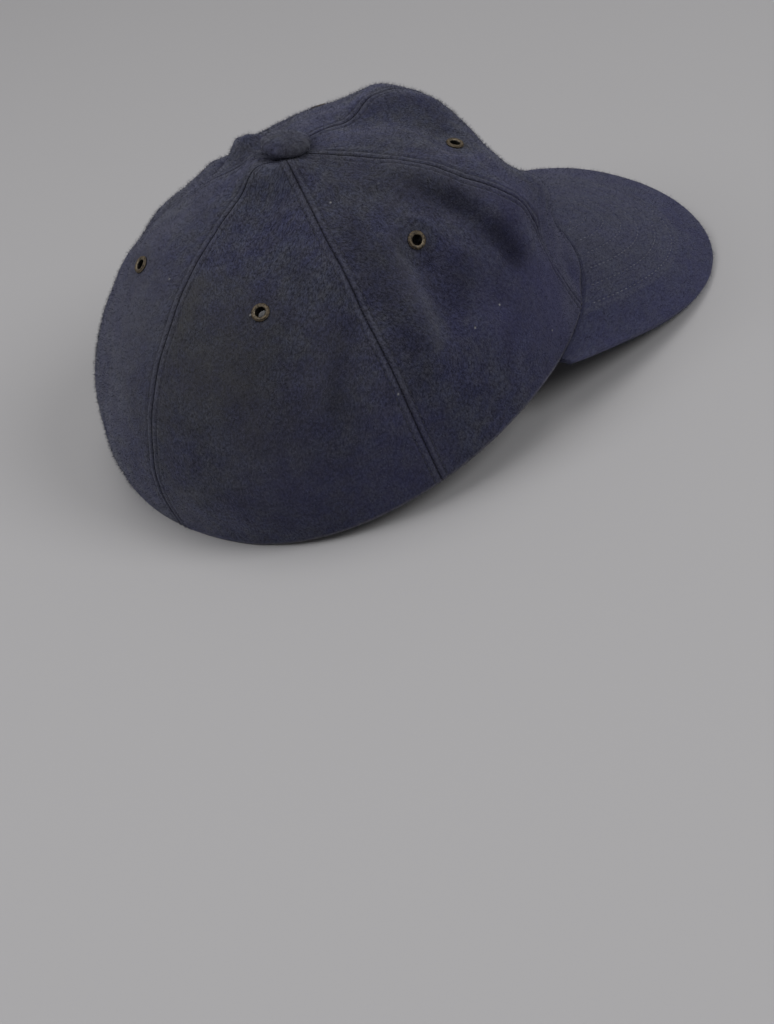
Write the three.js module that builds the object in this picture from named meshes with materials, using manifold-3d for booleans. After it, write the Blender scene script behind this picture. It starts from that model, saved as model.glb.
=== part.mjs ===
// A six-panel felt cap with a curved visor, resting on its back rim and on the edge of its visor.
// Millimetres. The rim frame has its origin in the middle of the rim, +Z up to the button,
// -Y to the visor and +X to the wearer's left. Azimuth 0 is the front, 90 the wearer's right.
import * as THREE from 'three';
import { mergeVertices } from 'three/addons/utils/BufferGeometryUtils.js';
import Module from 'manifold-3d';

const wasm = await Module();
wasm.setup();

// Felt wall and the clearance kept between neighbouring pieces
const FELT = 2.0;
const GAP = 0.3;

// Crown sections, in even steps of level from the rim (0) to the button (1)
const SECTIONS = [
  { height: 0.0, side: 84.9, front: 95.6, back: 97.4 },
  { height: 24.6, side: 82.6, front: 86.2, back: 96.8 },
  { height: 45.9, side: 75.2, front: 79.4, back: 87.0 },
  { height: 61.4, side: 64.4, front: 72.2, back: 74.2 },
  { height: 70.6, side: 52.6, front: 61.2, back: 60.4 },
  { height: 77.2, side: 39.2, front: 43.0, back: 46.4 },
  { height: 83.6, side: 22.7, front: 22.0, back: 26.6 },
  { height: 87.0, side: 0.0, front: 0.0, back: 0.0 },
];
const SECTION_POWER = 2.17;
const CROWN_LEAN = -6.8;

// Seams of the crown, by azimuth
const SEAM_FRONT = 55;
const SEAM_BACK = 111;
const SEAM_MIDDLE = 180;
const SEAM_DIP = 0.8;
const SEAM_ROLL = 3.0;
const TIP_LEVEL = 0.974;
// Turns by which a seam wanders off its azimuth, as rows of level and degrees
const SEAM_DRIFTS = {
  [SEAM_FRONT]: [[0, 1.5], [0.08, 2.5], [0.14, 2.5], [0.24, -2.5], [0.36, 2], [0.5, 4], [0.65, 3.5], [1, 0]],
  [SEAM_MIDDLE]: [[0, -1.5], [0.3, -1.2], [0.47, -1], [0.66, 1], [0.77, 3], [0.88, 6], [1, 6]],
};

// Folds and dents: a line on the crown, its width and its height along the normal
const MIDDLE_FOLDS = [
  { name: 'front dome', az0: -6, lv0: 0.6, az1: 1.5, lv1: 0.69, width: 26, rise: 4.9 },
  { name: 'button swell', az0: 115, lv0: 0.95, az1: 245, lv1: 0.95, width: 6.5, rise: 3.2 },
  { name: 'button heel', az0: 150, lv0: 0.93, az1: 195, lv1: 0.93, width: 6, rise: 1.6 },
];
const FOLDS = [
  { name: 'front crease', az0: 9, lv0: 0.77, az1: 37, lv1: 0.57, width: 11.5, rise: -3.4 },
  { name: 'front ridge', az0: 4, lv0: 0.69, az1: 11, lv1: 0.54, width: 5.5, rise: 1.8 },
  { name: 'front flat', az0: 25, lv0: 0.5, az1: 25.7, lv1: 0.315, width: 12.4, rise: -1.7 },
  { name: 'front shelf', az0: 38, lv0: 0.24, az1: 35, lv1: 0.2, width: 8.5, rise: 5.5 },
  { name: 'seam brow', az0: 58, lv0: 0.32, az1: 51, lv1: 0.26, width: 13.8, rise: 4.6 },
  { name: 'seam hollow', az0: 53.5, lv0: 0.24, az1: 47.5, lv1: 0.05, width: 8.2, rise: -3.4 },
  { name: 'upper crease', az0: 84, lv0: 0.76, az1: 71.5, lv1: 0.55, width: 5.0, rise: -1.1 },
  { name: 'side valley', az0: 72.7, lv0: 0.49, az1: 71.9, lv1: 0.29, width: 10.6, rise: -4.8 },
  { name: 'side ridge', az0: 65.7, lv0: 0.71, az1: 65.8, lv1: 0.37, width: 5.3, rise: 2.0 },
  { name: 'side dimple', az0: 81.7, lv0: 0.24, az1: 82, lv1: 0.285, width: 6.7, rise: -3.1 },
  { name: 'middle valley', az0: 90.3, lv0: 0.445, az1: 91.6, lv1: 0.31, width: 10.6, rise: -7.0 },
  { name: 'middle ridge', az0: 96.2, lv0: 0.475, az1: 100.2, lv1: 0.23, width: 8.0, rise: 1.8 },
  { name: 'back bulge', az0: 140, lv0: 0.12, az1: 152, lv1: 0.13, width: 22, rise: 2.2 },
  { name: 'back dent', az0: 113.3, lv0: 0.445, az1: 119.9, lv1: 0.35, width: 9.6, rise: -2.8 },
];
// The left side carries the same folds, softer, and some of its own: a tuft of felt is bunched
// beside the button, and the back bulges out above a hollow
const LEFT_SOFTNESS = 0.6;
const LEFT_FOLDS = [
  { name: 'tuft', az0: 283, lv0: 0.79, az1: 275, lv1: 0.885, width: 5.2, rise: 4.6 },
  { name: 'tuft end', az0: 287, lv0: 0.88, az1: 302, lv1: 0.9, width: 5, rise: 2.9 },
  { name: 'tuft foot', az0: 266, lv0: 0.74, az1: 284, lv1: 0.69, width: 6, rise: -1.2 },
  { name: 'far flat', az0: 294, lv0: 0.62, az1: 302, lv1: 0.6, width: 10, rise: -2.9 },
  { name: 'far hollow', az0: 297, lv0: 0.83, az1: 306, lv1: 0.795, width: 7.7, rise: -1.8 },
  { name: 'high bulge', az0: 214, lv0: 0.7, az1: 222.7, lv1: 0.633, width: 11.5, rise: 2.1 },
  { name: 'low hollow', az0: 202, lv0: 0.28, az1: 207.5, lv1: 0.175, width: 14.8, rise: -2.6 },
];
const FOLD_STEPS = 14;

// Panels between two seams, with their columns and rows of facets
const PANELS = [
  { name: 'panel_front_right', from: 0, to: SEAM_FRONT },
  { name: 'panel_side_right', from: SEAM_FRONT, to: SEAM_BACK },
  { name: 'panel_back_right', from: SEAM_BACK, to: SEAM_MIDDLE },
  { name: 'panel_back_left', from: SEAM_MIDDLE, to: 360 - SEAM_BACK },
  { name: 'panel_side_left', from: 360 - SEAM_BACK, to: 360 - SEAM_FRONT },
  { name: 'panel_front_left', from: 360 - SEAM_FRONT, to: 360 },
];
const PANEL_COLUMNS = 12;
const PANEL_ROWS = 20;

// Vent eyelets, one to a panel
const EYELETS = [
  { name: 'eyelet_front_right', panel: 'panel_front_right', azimuth: 37, level: 0.53 },
  { name: 'eyelet_side_right', panel: 'panel_side_right', azimuth: 86.5, level: 0.52 },
  { name: 'eyelet_back_right', panel: 'panel_back_right', azimuth: 143.5, level: 0.573 },
  { name: 'eyelet_back_left', panel: 'panel_back_left', azimuth: 213.5, level: 0.6 },
  { name: 'eyelet_side_left', panel: 'panel_side_left', azimuth: 274, level: 0.5 },
  { name: 'eyelet_front_left', panel: 'panel_front_left', azimuth: 322, level: 0.52 },
];
const EYELET_BORE = 1.75;
const EYELET_BARREL = 2.3;
const EYELET_FLANGE = 3.25;
const EYELET_ROLL = 3.0;
const EYELET_PROUD = 0.8;
const EYELET_SEGMENTS = 18;
const FLAT_RADIUS = 6.6;
const FLAT_BLEND = 4.0;

// Visor: its outer edge is a superellipse in plan, falling away from the rim to the front and sides
const VISOR_HALF_WIDTH = 86.9;
const VISOR_CENTRE = 55.4;
const VISOR_REACH = 104.3;
const VISOR_POWER = 2.69;
const VISOR_START = 71.7;
const VISOR_HEIGHT = 6.4;
const VISOR_SLOPE = 0.469;
const VISOR_CURL = 25.0;
const VISOR_CURL_AT = 85;
const VISOR_THICK = 3.4;
const VISOR_END_THICK = 1.4;
const VISOR_END_FROM = 0.8;
const VISOR_CORNER = 74.4;
const VISOR_EDGE_TURN = 99.3;
const VISOR_MARGIN = 0.6;
const VISOR_COLUMNS = 34;
const VISOR_ROWS = 8;
const VISOR_ROUND = 1.4;

// Button over the tips of the panels, a little forward of them and leaning to the front
const BUTTON_RADIUS = 8.8;
const BUTTON_HEIGHT = 4.2;
const BUTTON_SKIRT = 1.2;
const BUTTON_CENTRE = { x: 0.2, y: -8.6 };
const BUTTON_LEAN = { x: -0.165, y: -0.29 };
const BUTTON_SEGMENTS = 28;
const BUTTON_ARCS = 7;
const SEAT_LEVELS = [0.82, 0.84, 0.86, 0.88, 0.9, 0.92, 0.94, 0.96, TIP_LEVEL];
const SEAT_STEP = 3;
const SEAT_MARGIN = 0.8;

// Felt pressed flat on the floor at the back of the rim
const REST_PRESS = 1.1;

const RADIANS = Math.PI / 180;
const UP = new THREE.Vector3(0, 0, 1);

// One column of the section table at a level, by a cubic through the rows
function section(column, level) {
  const last = SECTIONS.length - 1;
  const place = Math.min(Math.max(level, 0), 1) * last;
  const row = Math.min(Math.floor(place), last - 1);
  const f = place - row;
  const value = (i) => SECTIONS[Math.min(Math.max(i, 0), last)][column];
  const slope = (i) => {
    if (i <= 0) return value(1) - value(0);
    if (i >= last) return column === 'height' ? 0 : value(last) - value(last - 1);
    return (value(i + 1) - value(i - 1)) / 2;
  };
  const a = (1 + 2 * f) * (1 - f) ** 2 * value(row) + f * (1 - f) ** 2 * slope(row);
  const b = f * f * (3 - 2 * f) * value(row + 1) + f * f * (f - 1) * slope(row + 1);
  return a + b;
}

// A signed power, for superellipses
function power(value, exponent) {
  return Math.sign(value) * Math.abs(value) ** exponent;
}

// The smooth crown without its folds
function smoothCrown(azimuth, level) {
  const across = power(Math.sin(azimuth * RADIANS), 2 / SECTION_POWER);
  const along = power(Math.cos(azimuth * RADIANS), 2 / SECTION_POWER);
  const reach = along > 0 ? section('front', level) : section('back', level);
  const x = -section('side', level) * across;
  const y = -reach * along + CROWN_LEAN * level * level;
  return new THREE.Vector3(x, y, section('height', level));
}

// Outward normal of a crown surface by small steps along azimuth and level
function normalOf(surface, azimuth, level) {
  const turn = 0.8;
  const low = Math.max(level - 0.008, 0);
  const high = Math.min(level + 0.008, 0.995);
  const around = surface(azimuth + turn, level).sub(surface(azimuth - turn, level));
  const upward = surface(azimuth, high).sub(surface(azimuth, low));
  return upward.cross(around).normalize();
}

// Points along the line of each fold, on the smooth crown
function foldLine(fold) {
  const points = [];
  for (let i = 0; i < FOLD_STEPS; i += 1) {
    const f = i / (FOLD_STEPS - 1);
    const azimuth = fold.az0 + (fold.az1 - fold.az0) * f;
    const level = fold.lv0 + (fold.lv1 - fold.lv0) * f;
    points.push(smoothCrown(azimuth, level));
  }
  return { points, width: fold.width, rise: fold.rise };
}

function mirrored(fold) {
  return { ...fold, az0: 360 - fold.az0, az1: 360 - fold.az1, rise: fold.rise * LEFT_SOFTNESS };
}

const ALL_FOLDS = [...MIDDLE_FOLDS, ...FOLDS, ...FOLDS.map(mirrored), ...LEFT_FOLDS].map(foldLine);

// The crown with its folds raised and pressed in
function foldedCrown(azimuth, level) {
  const point = smoothCrown(azimuth, level);
  let rise = 0;
  for (const fold of ALL_FOLDS) {
    let nearest = Infinity;
    for (const onLine of fold.points) {
      nearest = Math.min(nearest, onLine.distanceToSquared(point));
    }
    rise += fold.rise * Math.exp(-nearest / fold.width ** 2);
  }
  return point.addScaledVector(normalOf(smoothCrown, azimuth, level), rise);
}

// Seat of each eyelet on the folded crown
const SEATS = EYELETS.map((eyelet) => ({
  ...eyelet,
  point: foldedCrown(eyelet.azimuth, eyelet.level),
  normal: normalOf(foldedCrown, eyelet.azimuth, eyelet.level),
}));

// The crown flattened around each eyelet
function crown(azimuth, level) {
  const point = foldedCrown(azimuth, level);
  for (const seat of SEATS) {
    const apart = point.distanceTo(seat.point);
    const share = 1 - THREE.MathUtils.smoothstep(apart, FLAT_RADIUS, FLAT_RADIUS + FLAT_BLEND);
    const height = point.clone().sub(seat.point).dot(seat.normal);
    point.addScaledVector(seat.normal, -height * share);
  }
  return point;
}

// A closed body from two grids of points of the same size, one over the other
function closedBody(outer, inner) {
  const rows = outer.length;
  const columns = outer[0].length;
  const points = [...outer.flat(), ...inner.flat()];
  const over = (r, c) => r * columns + c;
  const under = (r, c) => rows * columns + over(r, c);
  const triangles = [];
  const quad = (a, b, c, d) => triangles.push(a, b, c, a, c, d);
  for (let r = 0; r < rows - 1; r += 1) {
    for (let c = 0; c < columns - 1; c += 1) {
      quad(over(r, c), over(r, c + 1), over(r + 1, c + 1), over(r + 1, c));
      quad(under(r, c), under(r + 1, c), under(r + 1, c + 1), under(r, c + 1));
    }
  }
  for (let r = 0; r < rows - 1; r += 1) {
    const end = columns - 1;
    quad(over(r, 0), over(r + 1, 0), under(r + 1, 0), under(r, 0));
    quad(over(r + 1, end), over(r, end), under(r, end), under(r + 1, end));
  }
  for (let c = 0; c < columns - 1; c += 1) {
    const end = rows - 1;
    quad(over(0, c + 1), over(0, c), under(0, c), under(0, c + 1));
    quad(over(end, c), over(end, c + 1), under(end, c + 1), under(end, c));
  }
  const geometry = new THREE.BufferGeometry();
  const positions = points.flatMap((p) => [p.x, p.y, p.z]);
  geometry.setAttribute('position', new THREE.Float32BufferAttribute(positions, 3));
  geometry.setIndex(triangles);
  return faceOut(geometry);
}

// Turns a body's triangles over if they face inward
function faceOut(geometry) {
  const position = geometry.attributes.position;
  const index = geometry.index.array;
  const corner = [new THREE.Vector3(), new THREE.Vector3(), new THREE.Vector3()];
  let volume = 0;
  for (let i = 0; i < index.length; i += 3) {
    corner.forEach((v, k) => v.fromBufferAttribute(position, index[i + k]));
    volume += corner[0].dot(corner[1].clone().cross(corner[2]));
  }
  if (volume < 0) {
    for (let i = 0; i < index.length; i += 3) {
      const swap = index[i];
      index[i] = index[i + 1];
      index[i + 1] = swap;
    }
  }
  return geometry;
}

function toSolid(geometry) {
  geometry.deleteAttribute('normal');
  geometry.deleteAttribute('uv');
  const merged = mergeVertices(geometry, 1e-4);
  const vertProperties = new Float32Array(merged.attributes.position.array);
  const triVerts = new Uint32Array(merged.index.array);
  return new wasm.Manifold(new wasm.Mesh({ numProp: 3, vertProperties, triVerts }));
}

function toGeometry(solid) {
  const mesh = solid.getMesh();
  const geometry = new THREE.BufferGeometry();
  geometry.setAttribute('position', new THREE.Float32BufferAttribute(mesh.vertProperties, 3));
  geometry.setIndex([...mesh.triVerts]);
  return geometry;
}

// The azimuth that lies a length away from a seam at a level
function azimuthAt(seam, level, length) {
  const origin = smoothCrown(seam, level);
  const sense = Math.sign(length);
  let turn = 0.5;
  for (let i = 0; i < 6; i += 1) {
    const reached = smoothCrown(seam + sense * turn, level).distanceTo(origin);
    turn *= Math.abs(length) / reached;
  }
  return seam + sense * turn;
}

// The azimuth of a seam at a level, with its drift, which is mirrored on the left side
function seamAt(seam, level) {
  const rows = SEAM_DRIFTS[Math.min(seam, 360 - seam)];
  if (!rows) {
    return seam;
  }
  const next = Math.max(rows.findIndex((row) => row[0] >= level), 1);
  const [low, lowTurn] = rows[next - 1];
  const [high, highTurn] = rows[next];
  const turn = lowTurn + ((highTurn - lowTurn) * (level - low)) / (high - low);
  return seam > SEAM_MIDDLE ? seam - turn : seam + turn;
}

// Azimuths across a panel at a level: an edge, a rolled strip, the field, a strip and an edge
function panelAzimuths(panel, level) {
  const from = seamAt(panel.from, level);
  const to = seamAt(panel.to, level);
  const width = smoothCrown(from, level).distanceTo(smoothCrown(to, level));
  const roll = Math.min(SEAM_ROLL, width * 0.12);
  const first = azimuthAt(from, level, roll);
  const last = azimuthAt(to, level, -roll);
  const azimuths = [azimuthAt(from, level, GAP / 2)];
  const fields = PANEL_COLUMNS - 2;
  for (let c = 0; c <= fields; c += 1) {
    azimuths.push(first + ((last - first) * c) / fields);
  }
  azimuths.push(azimuthAt(to, level, -GAP / 2));
  return azimuths;
}

// Felt panel as two grids, its outer face and its inner face one felt thickness in
function panelGrids(panel, floor) {
  const outer = [];
  const inner = [];
  for (let r = 0; r <= PANEL_ROWS; r += 1) {
    const level = (TIP_LEVEL * r) / PANEL_ROWS;
    const azimuths = panelAzimuths(panel, level);
    const edge = azimuths.length - 1;
    const fade = 1 - level ** 6;
    const outerRow = [];
    const innerRow = [];
    azimuths.forEach((azimuth, c) => {
      const normal = normalOf(crown, azimuth, level);
      const dip = c === 0 || c === edge ? SEAM_DIP * fade : 0;
      const out = crown(azimuth, level).addScaledVector(normal, -dip);
      const back = out.clone().addScaledVector(normal, -FELT);
      if (r === 0) {
        back.z = out.z;
      }
      outerRow.push(ontoFloor(out, floor));
      innerRow.push(ontoFloor(back, floor));
    });
    outer.push(outerRow);
    inner.push(innerRow);
  }
  return { outer, inner };
}

// Felt that would reach under the floor is pressed up to it
function ontoFloor(point, floor) {
  const depth = floor.height - point.dot(floor.normal);
  if (depth > 0) {
    point.z += depth / floor.normal.z;
  }
  return point;
}

// Outer edge of the visor, by the turn around its own centre
function visorEdge(turn) {
  const x = -VISOR_HALF_WIDTH * power(Math.sin(turn * RADIANS), 2 / VISOR_POWER);
  const ahead = VISOR_CENTRE + VISOR_REACH * power(Math.cos(turn * RADIANS), 2 / VISOR_POWER);
  const fall = VISOR_SLOPE * (ahead - VISOR_START) + VISOR_CURL * (x / VISOR_CURL_AT) ** 2;
  return new THREE.Vector3(x, -ahead, VISOR_HEIGHT - fall);
}

// Top face of the visor: a sewn margin under the rim, then a ruled sheet out to the edge
function visorTop(side, across) {
  const azimuth = VISOR_CORNER * side;
  const rim = smoothCrown(azimuth, 0);
  const outward = normalOf(smoothCrown, azimuth, 0).setZ(0).normalize();
  if (across < 0) {
    return rim.addScaledVector(outward, -FELT).setZ(-GAP);
  }
  const margin = rim.addScaledVector(outward, VISOR_MARGIN).setZ(-GAP);
  return margin.lerp(visorEdge(VISOR_EDGE_TURN * side), across);
}

function visorGrids() {
  const top = [];
  const under = [];
  const acrossSteps = [-1];
  for (let r = 0; r <= VISOR_ROWS; r += 1) {
    acrossSteps.push(r / VISOR_ROWS);
  }
  for (const across of acrossSteps) {
    const topRow = [];
    const underRow = [];
    for (let c = 0; c <= VISOR_COLUMNS; c += 1) {
      const side = (2 * c) / VISOR_COLUMNS - 1;
      const normal = visorNormal(side, Math.max(across, 0));
      const point = visorTop(side, across);
      topRow.push(point);
      underRow.push(point.clone().addScaledVector(normal, -visorThickness(side)));
    }
    top.push(topRow);
    under.push(underRow);
  }
  addRoundedEdge(top, under);
  return { top, under };
}

// The board thins toward its two ends, where it runs in under the rim
function visorThickness(side) {
  const end = THREE.MathUtils.smoothstep(Math.abs(side), VISOR_END_FROM, 1);
  return THREE.MathUtils.lerp(VISOR_THICK, VISOR_END_THICK, end);
}

function visorNormal(side, across) {
  const step = 0.02;
  const near = Math.max(across - step, 0);
  const far = Math.min(across + step, 1);
  const outward = visorTop(side, far).sub(visorTop(side, near));
  const left = visorTop(Math.max(side - step, -1), across);
  const right = visorTop(Math.min(side + step, 1), across);
  const normal = outward.cross(right.sub(left)).normalize();
  return normal.z < 0 ? normal.negate() : normal;
}

// A last row on both faces, drawn out and toward the middle of the thickness
function addRoundedEdge(top, under) {
  const last = top.length - 1;
  const topRow = [];
  const underRow = [];
  top[last].forEach((point, c) => {
    const below = under[last][c];
    const outward = point.clone().sub(top[last - 1][c]).normalize();
    const middle = point.clone().lerp(below, 0.5).addScaledVector(outward, VISOR_ROUND);
    topRow.push(middle.clone().lerp(point, 0.45));
    underRow.push(middle.clone().lerp(below, 0.45));
  });
  top.push(topRow);
  under.push(underRow);
}

// The tilt at which the visor's edge and the pressed back rim both meet the floor
function restingFloor(visorPoints) {
  const back = smoothCrown(180, 0);
  let low = 0;
  let high = 30;
  let floor = null;
  for (let i = 0; i < 40; i += 1) {
    const tilt = (low + high) / 2;
    const normal = UP.clone().applyAxisAngle(new THREE.Vector3(1, 0, 0), tilt * RADIANS);
    const height = Math.min(...visorPoints.map((p) => p.dot(normal)));
    floor = { tilt, normal, height };
    if (back.dot(normal) > height - REST_PRESS) {
      low = tilt;
    } else {
      high = tilt;
    }
  }
  return floor;
}

// A turned body about the Z axis from a profile of radius and height
function turned(profile, segments) {
  const points = profile.map((p) => new THREE.Vector2(p.radius, p.height));
  const lathe = new THREE.LatheGeometry(points, segments);
  lathe.rotateX(Math.PI / 2);
  lathe.deleteAttribute('normal');
  lathe.deleteAttribute('uv');
  return faceOut(dropSlivers(mergeVertices(lathe, 1e-4)));
}

// Leaves out triangles that have two corners in one place
function dropSlivers(geometry) {
  const kept = [];
  const index = geometry.index.array;
  for (let i = 0; i < index.length; i += 3) {
    const [a, b, c] = [index[i], index[i + 1], index[i + 2]];
    if (a !== b && b !== c && c !== a) {
      kept.push(a, b, c);
    }
  }
  geometry.setIndex(kept);
  return geometry;
}

function eyeletBody() {
  const seat = GAP;
  const back = -FELT - GAP;
  const crest = (EYELET_BARREL + EYELET_FLANGE) / 2;
  const profile = [
    { radius: EYELET_BORE, height: back - 0.2 },
    { radius: EYELET_BORE, height: seat + EYELET_PROUD - 0.5 },
    { radius: EYELET_BARREL, height: seat + EYELET_PROUD - 0.1 },
    { radius: crest, height: seat + EYELET_PROUD },
    { radius: EYELET_FLANGE - 0.2, height: seat + 0.5 },
    { radius: EYELET_FLANGE, height: seat },
    { radius: EYELET_BARREL, height: seat },
    { radius: EYELET_BARREL, height: back },
    { radius: EYELET_ROLL, height: back },
    { radius: EYELET_ROLL - 0.3, height: back - 0.6 },
    { radius: EYELET_BARREL - 0.1, height: back - 0.7 },
    { radius: EYELET_BORE, height: back - 0.2 },
  ];
  return turned(profile, EYELET_SEGMENTS);
}

// Seat of the button: the lowest place along its axis where it clears the felt below it
function buttonSeat() {
  const normal = new THREE.Vector3(BUTTON_LEAN.x, BUTTON_LEAN.y, 1).normalize();
  const point = new THREE.Vector3(BUTTON_CENTRE.x, BUTTON_CENTRE.y, section('height', 1));
  let lip = -Infinity;
  for (const level of SEAT_LEVELS) {
    for (let azimuth = 0; azimuth < 360; azimuth += SEAT_STEP) {
      const offset = crown(azimuth, level).sub(point);
      const height = offset.dot(normal);
      const radius = offset.addScaledVector(normal, -height).length();
      if (radius < BUTTON_RADIUS + SEAT_MARGIN) {
        lip = Math.max(lip, height);
      }
    }
  }
  return { point: point.addScaledVector(normal, lip + GAP), normal };
}

function buttonBody() {
  const profile = [
    { radius: 0, height: 0 },
    { radius: BUTTON_RADIUS - 0.8, height: 0 },
    { radius: BUTTON_RADIUS, height: BUTTON_SKIRT },
  ];
  const rise = BUTTON_HEIGHT - BUTTON_SKIRT;
  for (let i = 1; i < BUTTON_ARCS; i += 1) {
    const turn = (90 * i * RADIANS) / BUTTON_ARCS;
    const radius = BUTTON_RADIUS * Math.cos(turn);
    profile.push({ radius, height: BUTTON_SKIRT + rise * Math.sin(turn) });
  }
  profile.push({ radius: 0, height: BUTTON_HEIGHT });
  return turned(profile, BUTTON_SEGMENTS);
}

// Places a body made about +Z on a seat
function seated(mesh, seat) {
  mesh.position.copy(seat.point);
  mesh.quaternion.setFromUnitVectors(UP, seat.normal);
  return mesh;
}

function felt(name, colour) {
  const material = new THREE.MeshStandardMaterial({ color: colour, roughness: 0.95, metalness: 0 });
  material.name = name;
  return material;
}

function brass() {
  const material = new THREE.MeshStandardMaterial({ color: 0x6e5f4b, roughness: 0.5, metalness: 0.9 });
  material.name = 'brass';
  return material;
}

const cap = new THREE.Group();
cap.name = 'cap';

function addPiece(name, geometry, material) {
  const mesh = new THREE.Mesh(geometry, material);
  mesh.name = name;
  cap.add(mesh);
  return mesh;
}

const board = visorGrids();
const floor = restingFloor([...board.top.flat(), ...board.under.flat()]);
addPiece('visor', closedBody(board.top, board.under), felt('visor_felt', 0x3a3d4e));
const top = buttonSeat();
seated(addPiece('button', buttonBody(), felt('button_felt', 0x30313c)), top);

for (const panel of PANELS) {
  const { outer, inner } = panelGrids(panel, floor);
  let solid = toSolid(closedBody(outer, inner));
  for (const seat of SEATS.filter((s) => s.panel === panel.name)) {
    const bore = EYELET_BARREL + GAP;
    const drill = new THREE.CylinderGeometry(bore, bore, 6 * FELT, EYELET_SEGMENTS);
    drill.rotateX(Math.PI / 2);
    const placed = seated(new THREE.Mesh(drill), seat);
    placed.updateMatrix();
    solid = solid.subtract(toSolid(drill.applyMatrix4(placed.matrix)));
    seated(addPiece(seat.name, eyeletBody(), brass()), seat);
  }
  addPiece(panel.name, toGeometry(solid), felt('crown_felt', 0x2e3040));
}

// Tipped back onto its rest, with the middle of its box over the origin and its lowest point at zero
cap.rotation.x = -floor.tilt * RADIANS;
cap.updateMatrixWorld(true);
const box = new THREE.Box3().setFromObject(cap, true);
cap.position.set(-(box.min.x + box.max.x) / 2, -(box.min.y + box.max.y) / 2, -box.min.z);

const part = new THREE.Group();
part.name = 'felt_cap';
part.add(cap);
part.updateMatrixWorld(true);

export default part;
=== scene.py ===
# %% [markdown]
# # A worn felt cap, from flat cloth to a finished look
# The cap has six felt panels, a visor, a covered button and six brass eyelets. Its solids come
# from the CAD part and keep their place. Each cell here adds one finer piece over them: it says
# what the piece is on the real cap, how it could be made, and why this way was chosen.

# %% Load the solids and keep their box
import math
import bmesh
import bpy
import numpy as np
from mathutils import Matrix, Vector
from mathutils import noise


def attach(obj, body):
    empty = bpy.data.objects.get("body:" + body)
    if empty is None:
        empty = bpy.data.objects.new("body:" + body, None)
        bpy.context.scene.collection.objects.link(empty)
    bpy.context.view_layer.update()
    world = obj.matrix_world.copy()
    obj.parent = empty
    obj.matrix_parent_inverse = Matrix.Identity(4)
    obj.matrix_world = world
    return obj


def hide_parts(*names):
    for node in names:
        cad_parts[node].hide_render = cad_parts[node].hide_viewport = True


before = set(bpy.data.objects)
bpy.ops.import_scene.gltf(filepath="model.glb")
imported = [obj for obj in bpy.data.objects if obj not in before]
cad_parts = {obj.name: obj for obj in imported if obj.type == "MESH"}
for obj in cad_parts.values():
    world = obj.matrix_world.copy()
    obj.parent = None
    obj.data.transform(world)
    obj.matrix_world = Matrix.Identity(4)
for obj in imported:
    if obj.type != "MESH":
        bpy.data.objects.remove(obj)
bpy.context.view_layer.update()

MM = 0.001

# %% [markdown]
# ## The crown's sections
# A cap's crown is soft, but its sections can be read like a loaf's slices: at each level it has a
# height, a half width, and a reach to the front and to the back. A smooth curve through the rows
# gives any level between them, and a superellipse gives the slice. The rows are the solid's own,
# so the finer cloth lies exactly where the solid is. Lengths are in millimetres here.

# %% Section table and the smooth crown
SECTION_COLUMNS = ("height", "side", "front", "back")
SECTIONS = (
    (0.0, 84.9, 95.6, 97.4),
    (24.6, 82.6, 86.2, 96.8),
    (45.9, 75.2, 79.4, 87.0),
    (61.4, 64.4, 72.2, 74.2),
    (70.6, 52.6, 61.2, 60.4),
    (77.2, 39.2, 43.0, 46.4),
    (83.6, 22.7, 22.0, 26.6),
    (87.0, 0.0, 0.0, 0.0),
)
SECTION_POWER = 2.17
CROWN_LEAN = -6.8


def section(column, level):
    values = np.array(SECTIONS)[:, SECTION_COLUMNS.index(column)]
    last = len(values) - 1
    slopes = np.empty(last + 1)
    slopes[1:-1] = (values[2:] - values[:-2]) / 2
    slopes[0] = values[1] - values[0]
    slopes[last] = 0.0 if column == "height" else values[last] - values[last - 1]
    place = np.clip(level, 0, 1) * last
    row = np.minimum(np.floor(place).astype(int), last - 1)
    f = place - row
    low = (1 + 2 * f) * (1 - f) ** 2 * values[row] + f * (1 - f) ** 2 * slopes[row]
    high = smoothstep(f) * values[row + 1] + f * f * (f - 1) * slopes[row + 1]
    return low + high


def power(value, exponent):
    return np.sign(value) * np.abs(value) ** exponent


def smoothstep(f):
    return f * f * (3 - 2 * f)


def smooth_crown(azimuth, level):
    azimuth, level = np.broadcast_arrays(np.asarray(azimuth, float), np.asarray(level, float))
    across = power(np.sin(np.radians(azimuth)), 2 / SECTION_POWER)
    along = power(np.cos(np.radians(azimuth)), 2 / SECTION_POWER)
    reach = np.where(along > 0, section("front", level), section("back", level))
    x = -section("side", level) * across
    y = -reach * along + CROWN_LEAN * level ** 2
    return np.stack([x, y, section("height", level)], axis=-1)


rim = smooth_crown(np.linspace(0, 360, 361), 0)
print("rim is", round(np.linalg.norm(np.diff(rim, axis=0), axis=1).sum()), "mm around")

# %% [markdown]
# ## Folds and dents
# A worn cap caves in under its front seams and buckles at the sides. Each fold is a line on the
# crown with a width and a rise along the cloth's normal, so a dent is a fold with a negative
# rise. A row holds the azimuth and level of one end, those of the other end, the width and the
# rise. The large ones are the solid's; the finer creases in the last table are only drawn in here.
# Sculpting by hand would give the same forms, but a row of numbers can be tuned and read.

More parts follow.
